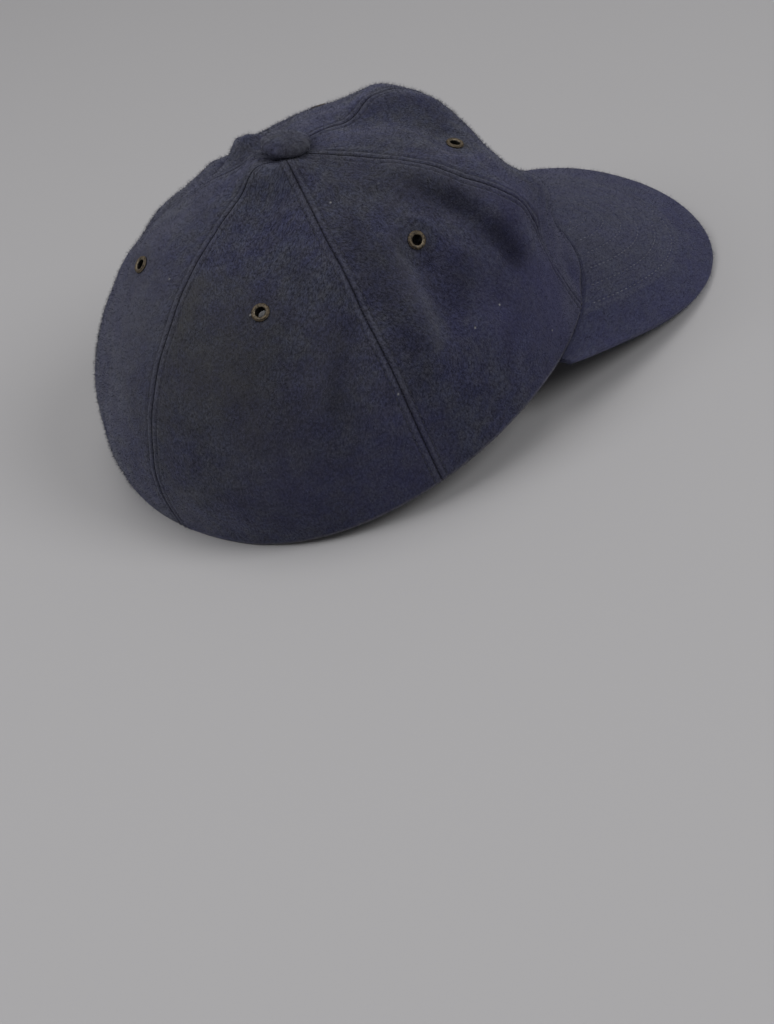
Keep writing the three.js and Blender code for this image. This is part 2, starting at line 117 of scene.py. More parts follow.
# %% Fold tables
MIDDLE_FOLDS = (
    (-6, 0.6, 1.5, 0.69, 26, 4.9),
    (115, 0.95, 245, 0.95, 6.5, 3.2),
    (150, 0.93, 195, 0.93, 6, 1.6),
)
FOLDS = (
    (9, 0.77, 37, 0.57, 11.5, -3.4),
    (4, 0.69, 11, 0.54, 5.5, 1.8),
    (25, 0.5, 25.7, 0.315, 12.4, -1.7),
    (38, 0.24, 35, 0.2, 8.5, 5.5),
    (58, 0.32, 51, 0.26, 13.8, 4.6),
    (53.5, 0.24, 47.5, 0.05, 8.2, -3.4),
    (84, 0.76, 71.5, 0.55, 5.0, -1.1),
    (72.7, 0.49, 71.9, 0.29, 10.6, -4.8),
    (65.7, 0.71, 65.8, 0.37, 5.3, 2.0),
    (81.7, 0.24, 82, 0.285, 6.7, -3.1),
    (90.3, 0.445, 91.6, 0.31, 10.6, -7.0),
    (96.2, 0.475, 100.2, 0.23, 8.0, 1.8),
    (140, 0.12, 152, 0.13, 22, 2.2),
    (113.3, 0.445, 119.9, 0.35, 9.6, -2.8),
)
LEFT_SOFTNESS = 0.6
LEFT_FOLDS = (
    (283, 0.79, 275, 0.885, 5.2, 4.6),
    (287, 0.88, 302, 0.9, 5, 2.9),
    (266, 0.74, 284, 0.69, 6, -1.2),
    (294, 0.62, 302, 0.6, 10, -2.9),
    (297, 0.83, 306, 0.795, 7.7, -1.8),
    (214, 0.7, 222.7, 0.633, 11.5, 2.1),
    (202, 0.28, 207.5, 0.175, 14.8, -2.6),
)
FINE_CREASES = (
    (69, 0.58, 68.5, 0.27, 3.6, -1.5),
    (74, 0.66, 72.3, 0.3, 3.6, 0.9),
    (85, 0.5, 89, 0.28, 4.5, -0.8),
    (90, 0.56, 99, 0.3, 4.5, 0.8),
    (76, 0.25, 79, 0.22, 4.0, -0.7),
    (128, 0.46, 132, 0.36, 5.0, 0.4),
    (150, 0.3, 160, 0.22, 7.0, -0.4),
    (236, 0.5, 240, 0.3, 6.0, 0.6),
    (330, 0.8, 340, 0.66, 4.0, -0.6),
)
FOLD_STEPS = 14


def mirrored(fold):
    az0, lv0, az1, lv1, width, rise = fold
    return (360 - az0, lv0, 360 - az1, lv1, width, rise * LEFT_SOFTNESS)


MAIN_FOLDS = MIDDLE_FOLDS + FOLDS + tuple(mirrored(fold) for fold in FOLDS) + LEFT_FOLDS


def squared_distance(points, line):
    nearest = np.full(points.shape[:-1], np.inf)
    for on_line in line:
        nearest = np.minimum(nearest, ((points - on_line) ** 2).sum(-1))
    return nearest


def fold_rise(points, folds):
    rise = np.zeros(points.shape[:-1])
    for az0, lv0, az1, lv1, width, height in folds:
        line = smooth_crown(np.linspace(az0, az1, FOLD_STEPS), np.linspace(lv0, lv1, FOLD_STEPS))
        rise += height * np.exp(-squared_distance(points, line) / width ** 2)
    return rise


print("folds", len(MAIN_FOLDS), "fine creases", len(FINE_CREASES))

# %% [markdown]
# ## How the cap lies
# Set down by itself, the cap tips back until the back of its rim and two points of its visor
# touch the table. The crown is worked out upright, so every point is turned by that tilt and
# shifted before it becomes a vertex. The tilt and the shift are the solid's own.

# %% From the upright crown to the resting cap
REST_TILT = math.radians(-10.656077621852091)
REST_SHIFT = np.array([0.0, 32.123789261158656, 16.910556056232792])
TURN = np.array(Matrix.Rotation(REST_TILT, 3, "X"))


def resting(points):
    return (points @ TURN.T + REST_SHIFT) * MM


def turned(directions):
    return directions @ TURN.T


def onto_floor(points):
    depth = np.maximum(0.0, -(points @ TURN[2] + REST_SHIFT[2]))
    pressed = points.copy()
    pressed[..., 2] += depth / TURN[2, 2]
    return pressed


print("apex of the resting cap", resting(smooth_crown(0, 1)).round(4))

# %% [markdown]
# ## Camera
# The camera stands behind the wearer's right, above the crown, and leans a little, as the picture
# of the cap was taken. Its direction, distance and lens were solved from the outline, the seams
# and the eyelets. A long lens with no shift keeps the other views honest.

# %% Camera at the photograph's angle
PICTURE_WIDTH, PICTURE_HEIGHT = 774, 1024
FOCAL_PIXELS = 1664.0
SENSOR = 36.0
VIEW_AZIMUTH, VIEW_ELEVATION, VIEW_ROLL = 238.71, 43.20, -24.61
VIEW_DISTANCE = 599.94
TARGET_HEIGHT = 55.0
TARGET_COLUMN, TARGET_ROW = 301.87, 240.85


def view_axes(azimuth, elevation, roll):
    a, e, r = np.radians([azimuth, elevation, roll])
    look = -np.array([np.sin(a) * np.cos(e), -np.cos(a) * np.cos(e), np.sin(e)])
    right = np.cross(look, [0, 0, 1.0])
    right /= np.linalg.norm(right)
    down = -np.cross(right, look)
    leaned_right = np.cos(r) * right - np.sin(r) * down
    leaned_down = np.sin(r) * right + np.cos(r) * down
    return np.array([leaned_right, leaned_down, look])


AXES = view_axes(VIEW_AZIMUTH, VIEW_ELEVATION, VIEW_ROLL)
offset_right = (TARGET_COLUMN - PICTURE_WIDTH / 2) / FOCAL_PIXELS * VIEW_DISTANCE
offset_down = (TARGET_ROW - PICTURE_HEIGHT / 2) / FOCAL_PIXELS * VIEW_DISTANCE
eye = np.array([0, 0, TARGET_HEIGHT]) - AXES.T @ np.array([offset_right, offset_down, VIEW_DISTANCE])
camera_data = bpy.data.cameras.new("camera")
camera_data.sensor_width = SENSOR
camera_data.lens = FOCAL_PIXELS / PICTURE_HEIGHT * SENSOR
camera_data.clip_start = 0.01
camera = bpy.data.objects.new("camera", camera_data)
bpy.context.scene.collection.objects.link(camera)
camera_turn = np.array([turned(AXES[0]), -turned(AXES[1]), -turned(AXES[2])]).T
camera.matrix_world = Matrix.Translation(resting(eye)) @ Matrix(camera_turn.tolist()).to_4x4()
bpy.context.scene.camera = camera
print("camera at", resting(eye).round(3), "lens", round(camera_data.lens, 1), "mm")

# %% [markdown]
# ## Floor and light
# A pale seamless floor and wide, soft lights show felt best: felt has no highlight, so its form
# comes from slow changes of shade. One hangs overhead and one stands at each side of the picture,
# so the back panel between them falls a little darker, and the grey of the room does the rest.

# %% Stage and lights
FLOOR_SIZE = 6.0
FLOOR_GREY = (0.50, 0.495, 0.505, 1)
ROOM_GREY, ROOM_STRENGTH = (0.80, 0.80, 0.81, 1), 0.27


def mesh_from(name, body):
    mesh = bpy.data.meshes.new(name)
    body.to_mesh(mesh)
    body.free()
    return mesh


def new_finish(name, values):
    finish = bpy.data.materials.new(name)
    finish.use_nodes = True
    shader = finish.node_tree.nodes["Principled BSDF"]
    for label, value in values.items():
        shader.inputs[label].default_value = value
    return finish, finish.node_tree, shader


sheet = bmesh.new()
bmesh.ops.create_grid(sheet, x_segments=4, y_segments=4, size=FLOOR_SIZE)
floor = bpy.data.objects.new("floor", mesh_from("floor", sheet))
bpy.context.scene.collection.objects.link(floor)
pale = {"Base Color": FLOOR_GREY, "Roughness": 0.9, "Specular IOR Level": 0.1}
floor.data.materials.append(new_finish("pale_floor", pale)[0])

room = bpy.data.worlds.new("room")
room.use_nodes = True
room.node_tree.nodes["Background"].inputs["Color"].default_value = ROOM_GREY
room.node_tree.nodes["Background"].inputs["Strength"].default_value = ROOM_STRENGTH
bpy.context.scene.world = room


def soft_light(name, place, aim, size, watts, colour):
    lamp = bpy.data.lights.new(name, "AREA")
    lamp.shape = "DISK"
    lamp.size = size
    lamp.energy = watts
    lamp.color = colour
    holder = bpy.data.objects.new(name, lamp)
    bpy.context.scene.collection.objects.link(holder)
    holder.location = place
    holder.rotation_mode = "QUATERNION"
    holder.rotation_quaternion = (Vector(aim) - Vector(place)).to_track_quat("-Z", "Y")


AIM = (0, 0, 0.06)
soft_light("overhead", (0.15, 0.1, 1.6), AIM, 1.4, 6, (1.0, 0.98, 0.96))
soft_light("left", (0.3, 1.15, 1.25), AIM, 0.9, 7, (1.0, 1.0, 1.0))
soft_light("right", (-1.2, -0.5, 1.25), AIM, 0.9, 9, (1.0, 1.0, 1.0))
bpy.context.scene.view_settings.view_transform = "Standard"

# %% [markdown]
# ## Felt as a material
# Brushed wool is matted fibre: it has no threads to count, only short streaks that lie along the
# nap, soft light and dark flecks, and the dust of use. Three shader groups share the work: one
# draws the fibres, one lays dust and dye over the colour with painted light and painted shade,
# and one darkens the seams with painted shade, lays a painted highlight beside them and frays the
# cut edges. The colour also turns paler toward grazing angles: a painted sheen. They read the
# attributes that each cloth piece carries: a nap map in metres that follows the cloth, and masks
# for dust, dye, painted shade, painted light, seams and cut edges.

# %% Helpers for shader groups
def new_group(name, inputs, outputs):
    group = bpy.data.node_groups.new(name, "ShaderNodeTree")
    for label, kind, value in inputs:
        socket = group.interface.new_socket(label, in_out="INPUT", socket_type=kind)
        socket.default_value = value
    for label, kind in outputs:
        group.interface.new_socket(label, in_out="OUTPUT", socket_type=kind)
    return group, group.nodes.new("NodeGroupInput"), group.nodes.new("NodeGroupOutput")


def put(tree, kind, values=None, links=None, **settings):
    node = tree.nodes.new(kind)
    for key, value in settings.items():
        setattr(node, key, value)
    for key, value in (values or {}).items():
        node.inputs[key].default_value = value
    for key, source in (links or {}).items():
        tree.links.new(source, node.inputs[key])
    return node


def maths(tree, operation, first, second):
    node = tree.nodes.new("ShaderNodeMath")
    node.operation = operation
    node.use_clamp = operation != "SUBTRACT"
    for slot, value in enumerate((first, second)):
        if isinstance(value, (int, float)):
            node.inputs[slot].default_value = value
        else:
            tree.links.new(value, node.inputs[slot])
    return node.outputs[0]


def blend_colours(tree, share, first, second, mode="MIX"):
    node = tree.nodes.new("ShaderNodeMix")
    node.data_type = "RGBA"
    node.blend_type = mode
    sockets = {"Factor": node.inputs[0], "A": node.inputs[6], "B": node.inputs[7]}
    for key, value in (("Factor", share), ("A", first), ("B", second)):
        if isinstance(value, (int, float, tuple)):
            sockets[key].default_value = value
        else:
            tree.links.new(value, sockets[key])
    return node.outputs[2]


def remap(tree, value, low, high, to_low=0.0, to_high=1.0):
    limits = {"From Min": low, "From Max": high, "To Min": to_low, "To Max": to_high}
    node = put(tree, "ShaderNodeMapRange", limits, {"Value": value}, interpolation_type="SMOOTHSTEP")
    return node.outputs["Result"]


def times(tree, first, second):
    return maths(tree, "MULTIPLY", first, second)


def between(tree, value, rise_from, rise_to, fall_from, fall_to):
    rising = remap(tree, value, rise_from, rise_to)
    falling = remap(tree, value, fall_from, fall_to, 1.0, 0.0)
    return times(tree, rising, falling)


def speckle(tree, place, scale, detail, roughness, distortion=0.0):
    values = {"Scale": scale, "Detail": detail, "Roughness": roughness, "Distortion": distortion}
    return put(tree, "ShaderNodeTexNoise", values, {"Vector": place}).outputs["Fac"]


def add_bump(tree, shader, height, strength, distance):
    bump = put(tree, "ShaderNodeBump", {"Strength": strength, "Distance": distance}, {"Height": height})
    tree.links.new(bump.outputs["Normal"], shader.inputs["Normal"])


print("helpers ready")

# %% Group: matted wool fibres
def fibre_group():
    group, entry, leave = new_group(
        "wool_fibres",
        [("Nap", "NodeSocketVector", (0, 0, 0))],
        [("Fleck", "NodeSocketFloat"), ("Tone", "NodeSocketFloat"), ("Lint", "NodeSocketFloat"),
         ("Height", "NodeSocketFloat")],
    )
    nap = entry.outputs["Nap"]
    lying = put(group, "ShaderNodeMapping", {"Scale": (1.0, 0.66, 1.0)}, {"Vector": nap}).outputs[0]
    streak = speckle(group, lying, 3000.0, 2.0, 0.7, 0.4)
    matted = speckle(group, lying, 1350.0, 2.0, 0.6)
    tone = speckle(group, nap, 260.0, 3.0, 0.65)
    cells = put(group, "ShaderNodeTexVoronoi", {"Scale": 62.0}, {"Vector": nap}, voronoi_dimensions="2D")
    speck = remap(group, cells.outputs["Distance"], 0.010, 0.034, 1.0, 0.0)
    chosen = put(group, "ShaderNodeSeparateColor", links={"Color": cells.outputs["Color"]}).outputs["Red"]
    lint = times(group, speck, remap(group, chosen, 0.90, 0.92))
    both = maths(group, "ADD", times(group, streak, 0.4), times(group, matted, 0.6))
    group.links.new(remap(group, both, 0.31, 0.69), leave.inputs["Fleck"])
    group.links.new(remap(group, tone, 0.34, 0.66), leave.inputs["Tone"])
    group.links.new(lint, leave.inputs["Lint"])
    group.links.new(both, leave.inputs["Height"])
    return group


FIBRES = fibre_group()
print("group", FIBRES.name)

# %% Group: dust and dye over the felt, with painted light and painted shade
DUST_COLOUR, DYE_COLOUR = (0.056, 0.055, 0.050, 1), (0.046, 0.045, 0.108, 1)
# painted light makes patches and crests paler; painted shade darkens the dent hollows
PAINTED_LIGHT_COLOUR, PAINTED_SHADE_COLOUR = (0.110, 0.112, 0.150, 1), (0.004, 0.004, 0.010, 1)


def wear_and_painted_light_group():
    group, entry, leave = new_group(
        "felt_wear_and_painted_light",
        [
            ("Felt", "NodeSocketColor", (0.05, 0.05, 0.07, 1)),
            ("Place", "NodeSocketVector", (0, 0, 0)),
            ("Dust", "NodeSocketFloat", 0.0),
            ("Dye", "NodeSocketFloat", 0.0),
            ("Shade", "NodeSocketFloat", 0.0),
            ("Fade", "NodeSocketFloat", 0.0),
        ],
        [("Color", "NodeSocketColor")],
    )
    place = entry.outputs["Place"]
    patchy = remap(group, speckle(group, place, 24.0, 3.0, 0.55), 0.38, 0.64)
    tinge = remap(group, speckle(group, place, 60.0, 4.0, 0.7), 0.38, 0.62)
    tint = blend_colours(group, tinge, (0.97, 0.96, 1.07, 1), (1.02, 1.03, 0.89, 1))
    colour = blend_colours(group, 1.0, entry.outputs["Felt"], tint, "MULTIPLY")
    mottle = remap(group, speckle(group, place, 120.0, 4.0, 0.6), 0.3, 0.7, 0.80, 1.16)
    colour = blend_colours(group, 1.0, colour, mottle, "MULTIPLY")
    uneven = maths(group, "ADD", times(group, patchy, 0.6), 0.4)
    # dust and dye are the felt's own colour; the last two layers are painted light and painted shade
    layers = (
        (times(group, entry.outputs["Dust"], uneven), 0.7, DUST_COLOUR),
        (entry.outputs["Dye"], 0.7, DYE_COLOUR),
        (entry.outputs["Fade"], 0.5, PAINTED_LIGHT_COLOUR),
        (entry.outputs["Shade"], 0.6, PAINTED_SHADE_COLOUR),
    )
    for mask, share, over in layers:
        colour = blend_colours(group, times(group, mask, share), colour, over)
    group.links.new(colour, leave.inputs["Color"])
    return group


WEAR_AND_PAINTED_LIGHT = wear_and_painted_light_group()
print("group", WEAR_AND_PAINTED_LIGHT.name)

# %% Group: seams and cut edges
STITCH_LINE = 2.6
# painted shade in the seam's valley and stitch trough, painted highlight on the ridge; frayed cut edges are
# wear
SEAM_PAINTED_SHADE, ROW_PAINTED_SHADE = (0.003, 0.003, 0.006, 1), (0.006, 0.006, 0.012, 1)
CREST_PAINTED_HIGHLIGHT, FRAYED_COLOUR = (0.085, 0.088, 0.120, 1), (0.12, 0.11, 0.095, 1)


def seam_group():
    group, entry, leave = new_group(
        "seam_and_edge",
        [
            ("Color", "NodeSocketColor", (0.05, 0.05, 0.07, 1)),
            ("Fleck", "NodeSocketFloat", 0.5),
            ("Seam", "NodeSocketFloat", 20.0),
            ("Edge", "NodeSocketFloat", 20.0),
        ],
        [("Color", "NodeSocketColor")],
    )
    seam, fleck = entry.outputs["Seam"], entry.outputs["Fleck"]
    # painted shade along the valley and the stitch trough, painted highlight on the ridge between them
    sunk = times(group, remap(group, seam, 0.08, 0.50, 1.0, 0.0), 0.85)
    colour = blend_colours(group, sunk, entry.outputs["Color"], SEAM_PAINTED_SHADE)
    crest = times(group, between(group, seam, 0.5, 1.2, 1.6, 2.3), fleck)
    colour = blend_colours(group, times(group, crest, 0.6), colour, CREST_PAINTED_HIGHLIGHT)
    row = between(group, seam, STITCH_LINE - 0.5, STITCH_LINE - 0.1, STITCH_LINE + 0.1, STITCH_LINE + 0.5)
    colour = blend_colours(group, times(group, row, 0.38), colour, ROW_PAINTED_SHADE)
    worn = remap(group, entry.outputs["Edge"], 0.1, 1.6, 1.0, 0.0)
    ragged = maths(group, "ADD", times(group, fleck, 0.7), 0.15)
    colour = blend_colours(group, times(group, worn, ragged), colour, FRAYED_COLOUR)
    group.links.new(colour, leave.inputs["Color"])
    return group


SEAMS = seam_group()
print("group", SEAMS.name)

# %% Felt finishes for the crown, the visor and the button
FELT_DARK = (0.010, 0.0105, 0.024, 1)
# painted sheen: paler colours laid on toward grazing angles
SHEEN_PAINTED_DARK, SHEEN_PAINTED_LIGHT = (0.036, 0.037, 0.056, 1), (0.225, 0.235, 0.330, 1)
COOL_TONE, WARM_TONE = (0.90, 0.93, 1.0, 1), (1.0, 0.98, 0.86, 1)
LINT_COLOUR = (0.22, 0.22, 0.23, 1)
FELT_RELIEF, RELIEF_DEPTH = 0.9, 0.0006


def felt_finish(name, dark, light, sheen):
    finish, tree, shader = new_finish(name, {
        "Roughness": 0.95, "Specular IOR Level": 0.15, "Sheen Weight": sheen,
        "Sheen Roughness": 0.45, "Sheen Tint": (0.72, 0.74, 1.0, 1)})
    nap = put(tree, "ShaderNodeAttribute", attribute_name="nap").outputs["Vector"]
    place = put(tree, "ShaderNodeTexCoord").outputs["Object"]
    masks = {}
    for label in ("dust", "dye", "shade", "fade", "seam", "edge"):
        masks[label] = put(tree, "ShaderNodeAttribute", attribute_name=label).outputs["Fac"]
    fibres = put(tree, "ShaderNodeGroup", node_tree=FIBRES, links={"Nap": nap})
    felt = blend_colours(tree, fibres.outputs["Fleck"], dark, light)
    # painted sheen: the felt turns paler toward grazing angles
    grazing = put(tree, "ShaderNodeLayerWeight", {"Blend": 0.4}).outputs["Facing"]
    painted_sheen = blend_colours(tree, fibres.outputs["Fleck"], SHEEN_PAINTED_DARK, SHEEN_PAINTED_LIGHT)
    felt = blend_colours(tree, times(tree, remap(tree, grazing, 0.2, 1.0), 0.6), felt, painted_sheen)
    hue = blend_colours(tree, fibres.outputs["Tone"], COOL_TONE, WARM_TONE)
    felt = blend_colours(tree, 1.0, felt, hue, "MULTIPLY")
    # this group lays dust and dye, and also painted light and painted shade
    worn = put(tree, "ShaderNodeGroup", node_tree=WEAR_AND_PAINTED_LIGHT, links={
        "Felt": felt, "Place": place, "Dust": masks["dust"], "Dye": masks["dye"],
        "Shade": masks["shade"], "Fade": masks["fade"]})
    sewn = put(tree, "ShaderNodeGroup", node_tree=SEAMS, links={
        "Color": worn.outputs["Color"], "Fleck": fibres.outputs["Fleck"],
        "Seam": masks["seam"], "Edge": masks["edge"]})
    specked = blend_colours(tree, fibres.outputs["Lint"], sewn.outputs["Color"], LINT_COLOUR)
    tree.links.new(specked, shader.inputs["Base Color"])
    add_bump(tree, shader, fibres.outputs["Height"], FELT_RELIEF, RELIEF_DEPTH)
    return finish


CROWN_FELT = felt_finish("crown_felt", FELT_DARK, (0.075, 0.079, 0.134, 1), 0.18)
VISOR_FELT = felt_finish("visor_felt", (0.010, 0.0115, 0.024, 1), (0.078, 0.087, 0.142, 1), 0.18)
BUTTON_FELT = felt_finish("button_felt", FELT_DARK, (0.073, 0.077, 0.125, 1), 0.17)
print("finishes", CROWN_FELT.name, VISOR_FELT.name, BUTTON_FELT.name)

# %% [markdown]
# ## Grids of points for the cloth
# A panel is one piece of felt, so it is one grid: columns run round the cap and rows run up it.
# The columns crowd toward the two seams, where the cloth is rolled under and stitched. A subdivided
# cage would also do, but a grid bent by the crown's own formula keeps every seam exact.

# %% Panels, eyelets and grid helpers
SEAM_FRONT, SEAM_BACK, SEAM_MIDDLE = 55, 111, 180
PANELS = {
    "front_right": (0, SEAM_FRONT),
    "side_right": (SEAM_FRONT, SEAM_BACK),
    "back_right": (SEAM_BACK, SEAM_MIDDLE),
    "back_left": (SEAM_MIDDLE, 360 - SEAM_BACK),
    "side_left": (360 - SEAM_BACK, 360 - SEAM_FRONT),
    "front_left": (360 - SEAM_FRONT, 360),
}
NEIGHBOURS = tuple(zip(PANELS, list(PANELS)[1:] + list(PANELS)[:1]))
EYELETS = {
    "front_right": (37.0, 0.53),
    "side_right": (86.5, 0.52),
    "back_right": (143.5, 0.573),
    "back_left": (213.5, 0.6),
    "side_left": (274.0, 0.5),
    "front_left": (322.0, 0.52),
}
FELT = 2.0
TIP_LEVEL = 0.992
COLUMNS, ROWS = 88, 150
SEAM_COLUMNS = 16
SEAM_BAND = 7.0
SEAM_CROWDING = 1.6
SEAM_SHARE = 0.22


def grid_normals(points):
    down_rows = np.gradient(points, axis=0)
    along_columns = np.gradient(points, axis=1)
    normals = np.cross(down_rows, along_columns)
    return normals / np.linalg.norm(normals, axis=-1, keepdims=True)


def running_length(points, axis):
    steps = np.linalg.norm(np.diff(points, axis=axis), axis=-1)
    return np.insert(np.cumsum(steps, axis=axis), 0, 0.0, axis=axis)


def azimuth_at(seam, level, length):
    origin = smooth_crown(seam, level)
    sense = np.sign(length)
    turn = np.full_like(level, 0.5)
    for _ in range(6):
        reached = np.linalg.norm(smooth_crown(seam + sense * turn, level) - origin, axis=-1)
        turn *= np.abs(length) / np.maximum(reached, 1e-6)
    return seam + sense * turn


SEAM_DRIFTS = {
    SEAM_FRONT: ((0, 0.08, 0.14, 0.24, 0.36, 0.5, 0.65, 1), (1.5, 2.5, 2.5, -2.5, 2, 4, 3.5, 0)),
    SEAM_MIDDLE: ((0, 0.3, 0.47, 0.66, 0.77, 0.88, 1), (-1.5, -1.2, -1, 1, 3, 6, 6)),
}


def seam_at(seam, level):
    drift = SEAM_DRIFTS.get(min(seam, 360 - seam))
    if drift is None:
        return np.full_like(level, seam)
    turn = np.interp(level, *drift)
    return seam - turn if seam > SEAM_MIDDLE else seam + turn


def panel_azimuths(first, last, level):
    first, last = seam_at(first, level), seam_at(last, level)
    width = np.linalg.norm(smooth_crown(first, level) - smooth_crown(last, level), axis=-1)
    band = np.minimum(SEAM_BAND, width * SEAM_SHARE)
    near = azimuth_at(first, level, band)[:, None]
    far = azimuth_at(last, level, -band)[:, None]
    crowd = (np.arange(SEAM_COLUMNS) / SEAM_COLUMNS) ** SEAM_CROWDING
    field = np.linspace(0, 1, COLUMNS - 2 * SEAM_COLUMNS + 1)
    first, last = first[:, None], last[:, None]
    first_band = first + (near - first) * crowd
    last_band = last + (far - last) * crowd[::-1]
    return np.concatenate([first_band, near + (far - near) * field, last_band], axis=1)


print("panel grid", COLUMNS, "by", ROWS)

# %% Where the eyelets sit
FLAT_RADIUS, FLAT_BLEND = 6.6, 4.0


def crown_patch(azimuth, level, spread=0.8, rise=0.008):
    azimuths = azimuth + spread * np.array([[-1, 0, 1]] * 3)
    levels = level + rise * np.array([[-1] * 3, [0] * 3, [1] * 3])
    smooth = smooth_crown(azimuths, levels)
    return smooth + grid_normals(smooth) * fold_rise(smooth, MAIN_FOLDS)[..., None]


def eyelet_seat(azimuth, level):
    patch = crown_patch(azimuth, level)
    return patch[1, 1], grid_normals(patch)[1, 1]


SEATS = {name: eyelet_seat(*place) for name, place in EYELETS.items()}


def flattened(points):
    for centre, normal in SEATS.values():
        apart = np.linalg.norm(points - centre, axis=-1)
        f = np.clip((apart - FLAT_RADIUS) / FLAT_BLEND, 0, 1)
        share = 1 - smoothstep(f)
        points = points - ((points - centre) @ normal * share)[..., None] * normal
    return points


print("eyelet seats", {name: seat[0].round(1).tolist() for name, seat in SEATS.items()})

# %% [markdown]
# ## Sewn edges
# Two panels are sewn face to face, their turnings are pressed open underneath, and a row of
# stitches each side holds them down. So a seam has a sharp valley, a soft ridge beside it where
# the turning lies under the cloth, and a faint trough where the stitches pull. The front seams are
# the stiffest and stand highest; the others are flatter, and those of the far side hardly rise.

# %% Seam profile and the unevenness of felt
VALLEY_WIDTH, VALLEY_DEEPEST = 0.45, 0.3
RIDGE_AT, RIDGE_WIDTH, RIDGE_RISE = 1.3, 0.95, 0.4
TROUGH_WIDTH, TROUGH_RISE = 0.5, -0.28
SHOULDER_AT, SHOULDER_WIDTH, SHOULDER_RISE = 3.9, 1.1, 0.22
SEAM_STRENGTH = {
    0: 0.7,
    SEAM_FRONT: 1.0,
    SEAM_BACK: 0.4,
    SEAM_MIDDLE: 0.5,
    360 - SEAM_BACK: 0.12,
    360 - SEAM_FRONT: 0.15,
}


def seam_strength(azimuth):
    return SEAM_STRENGTH[azimuth % 360]


def seam_profile(away, strength):
    valley = -min(VALLEY_DEEPEST, 0.1 + 0.45 * strength) * np.exp(-(away / VALLEY_WIDTH) ** 2)
    ridge = RIDGE_RISE * strength * np.exp(-((away - RIDGE_AT) / RIDGE_WIDTH) ** 2)
    trough = TROUGH_RISE * strength * np.exp(-((away - STITCH_LINE) / TROUGH_WIDTH) ** 2)
    shoulder = SHOULDER_RISE * strength * np.exp(-((away - SHOULDER_AT) / SHOULDER_WIDTH) ** 2)
    return valley + ridge + trough + shoulder


def unevenness(points, wave, seed):
    flat = points.reshape(-1, 3) / wave
    offset = Vector((seed * 7.3, seed * 3.1, seed * 5.7))
    values = [noise.noise(Vector(p) + offset) for p in flat.tolist()]
    return np.array(values).reshape(points.shape[:-1])


print("seam ridge rises", round(float(seam_profile(np.array(RIDGE_AT), 1.0)), 2), "mm at full strength")

# %% Shape one panel as a grid
BROAD_WAVE, BROAD_RISE = 22.0, 0.55
FINE_WAVE, FINE_RISE = 7.0, 0.22
PUCKER_WAVE, PUCKER_REACH, PUCKER_RISE = 3.2, 2.0, 0.16
CALM_TIP, CALM_RIM, RIM_SHARE = 0.12, 0.06, 0.25
FULL_ROOM, LEAST_ROOM = 24.0, 0.15
PANEL_CLIMB = 150
RIM_ROLL, RIM_ROLL_WIDTH = -0.45, 1.1


def panel_grid(name):
    first, last = PANELS[name]
    level = np.linspace(0, TIP_LEVEL, ROWS + 1)
    azimuth = panel_azimuths(first, last, level)
    levels = np.repeat(level[:, None], COLUMNS + 1, axis=1)
    smooth = smooth_crown(azimuth, levels)
    rise = fold_rise(smooth, MAIN_FOLDS)
    fine = fold_rise(smooth, FINE_CREASES)
    fine += BROAD_RISE * unevenness(smooth, BROAD_WAVE, 1) + FINE_RISE * unevenness(smooth, FINE_WAVE, 2)
    calm = np.clip((1 - levels) / CALM_TIP, 0, 1) * np.clip(levels / CALM_RIM + RIM_SHARE, 0, 1)
    body = smooth + grid_normals(smooth) * (rise + fine * calm)[..., None]
    body = flattened(body)
    from_first = running_length(body, 1)
    width = from_first[:, -1:]
    from_last = width - from_first
    room = np.clip(width / FULL_ROOM, LEAST_ROOM, 1)
    sewn = seam_profile(from_first / room, seam_strength(first))
    sewn += seam_profile(from_last / room, seam_strength(last))
    off_row = np.minimum(from_first, from_last) - STITCH_LINE
    pucker = unevenness(body, PUCKER_WAVE, 3) * np.exp(-(off_row / PUCKER_REACH) ** 2)
    roll = RIM_ROLL * np.exp(-(levels * PANEL_CLIMB / RIM_ROLL_WIDTH) ** 2)
    normals = grid_normals(body)
    points = onto_floor(body + normals * (sewn * room + PUCKER_RISE * pucker + roll)[..., None])
    return {"points": points, "normals": grid_normals(points), "from_first": from_first,
            "from_last": from_last, "climb": running_length(body, 0),
            "run": from_first - width / 2, "room": room, "first": first}


GRIDS = {name: panel_grid(name) for name in PANELS}
for name, after in NEIGHBOURS:
    shared = (GRIDS[name]["points"][:, -1] + GRIDS[after]["points"][:, 0]) / 2
    GRIDS[name]["points"][:, -1] = shared
    GRIDS[after]["points"][:, 0] = shared
print("panels shaped", {name: round(float(grid["climb"].max())) for name, grid in GRIDS.items()}, "mm tall")

# %% [markdown]
# ## Dust, dye, painted light and painted shade by place
# Wear isn't even. The back panels and the seams are dusty and brownish, and the low sides and the
# cloth near the visor keep a purplish dye. Painted light makes the two left panels, the crests of
# some folds and a strip above the visor paler, and painted shade darkens the hollows of the dents.
# Each patch is a row: its azimuth and level, how wide it is and how strong. A line has two ends
# instead of one place, as a fold has.

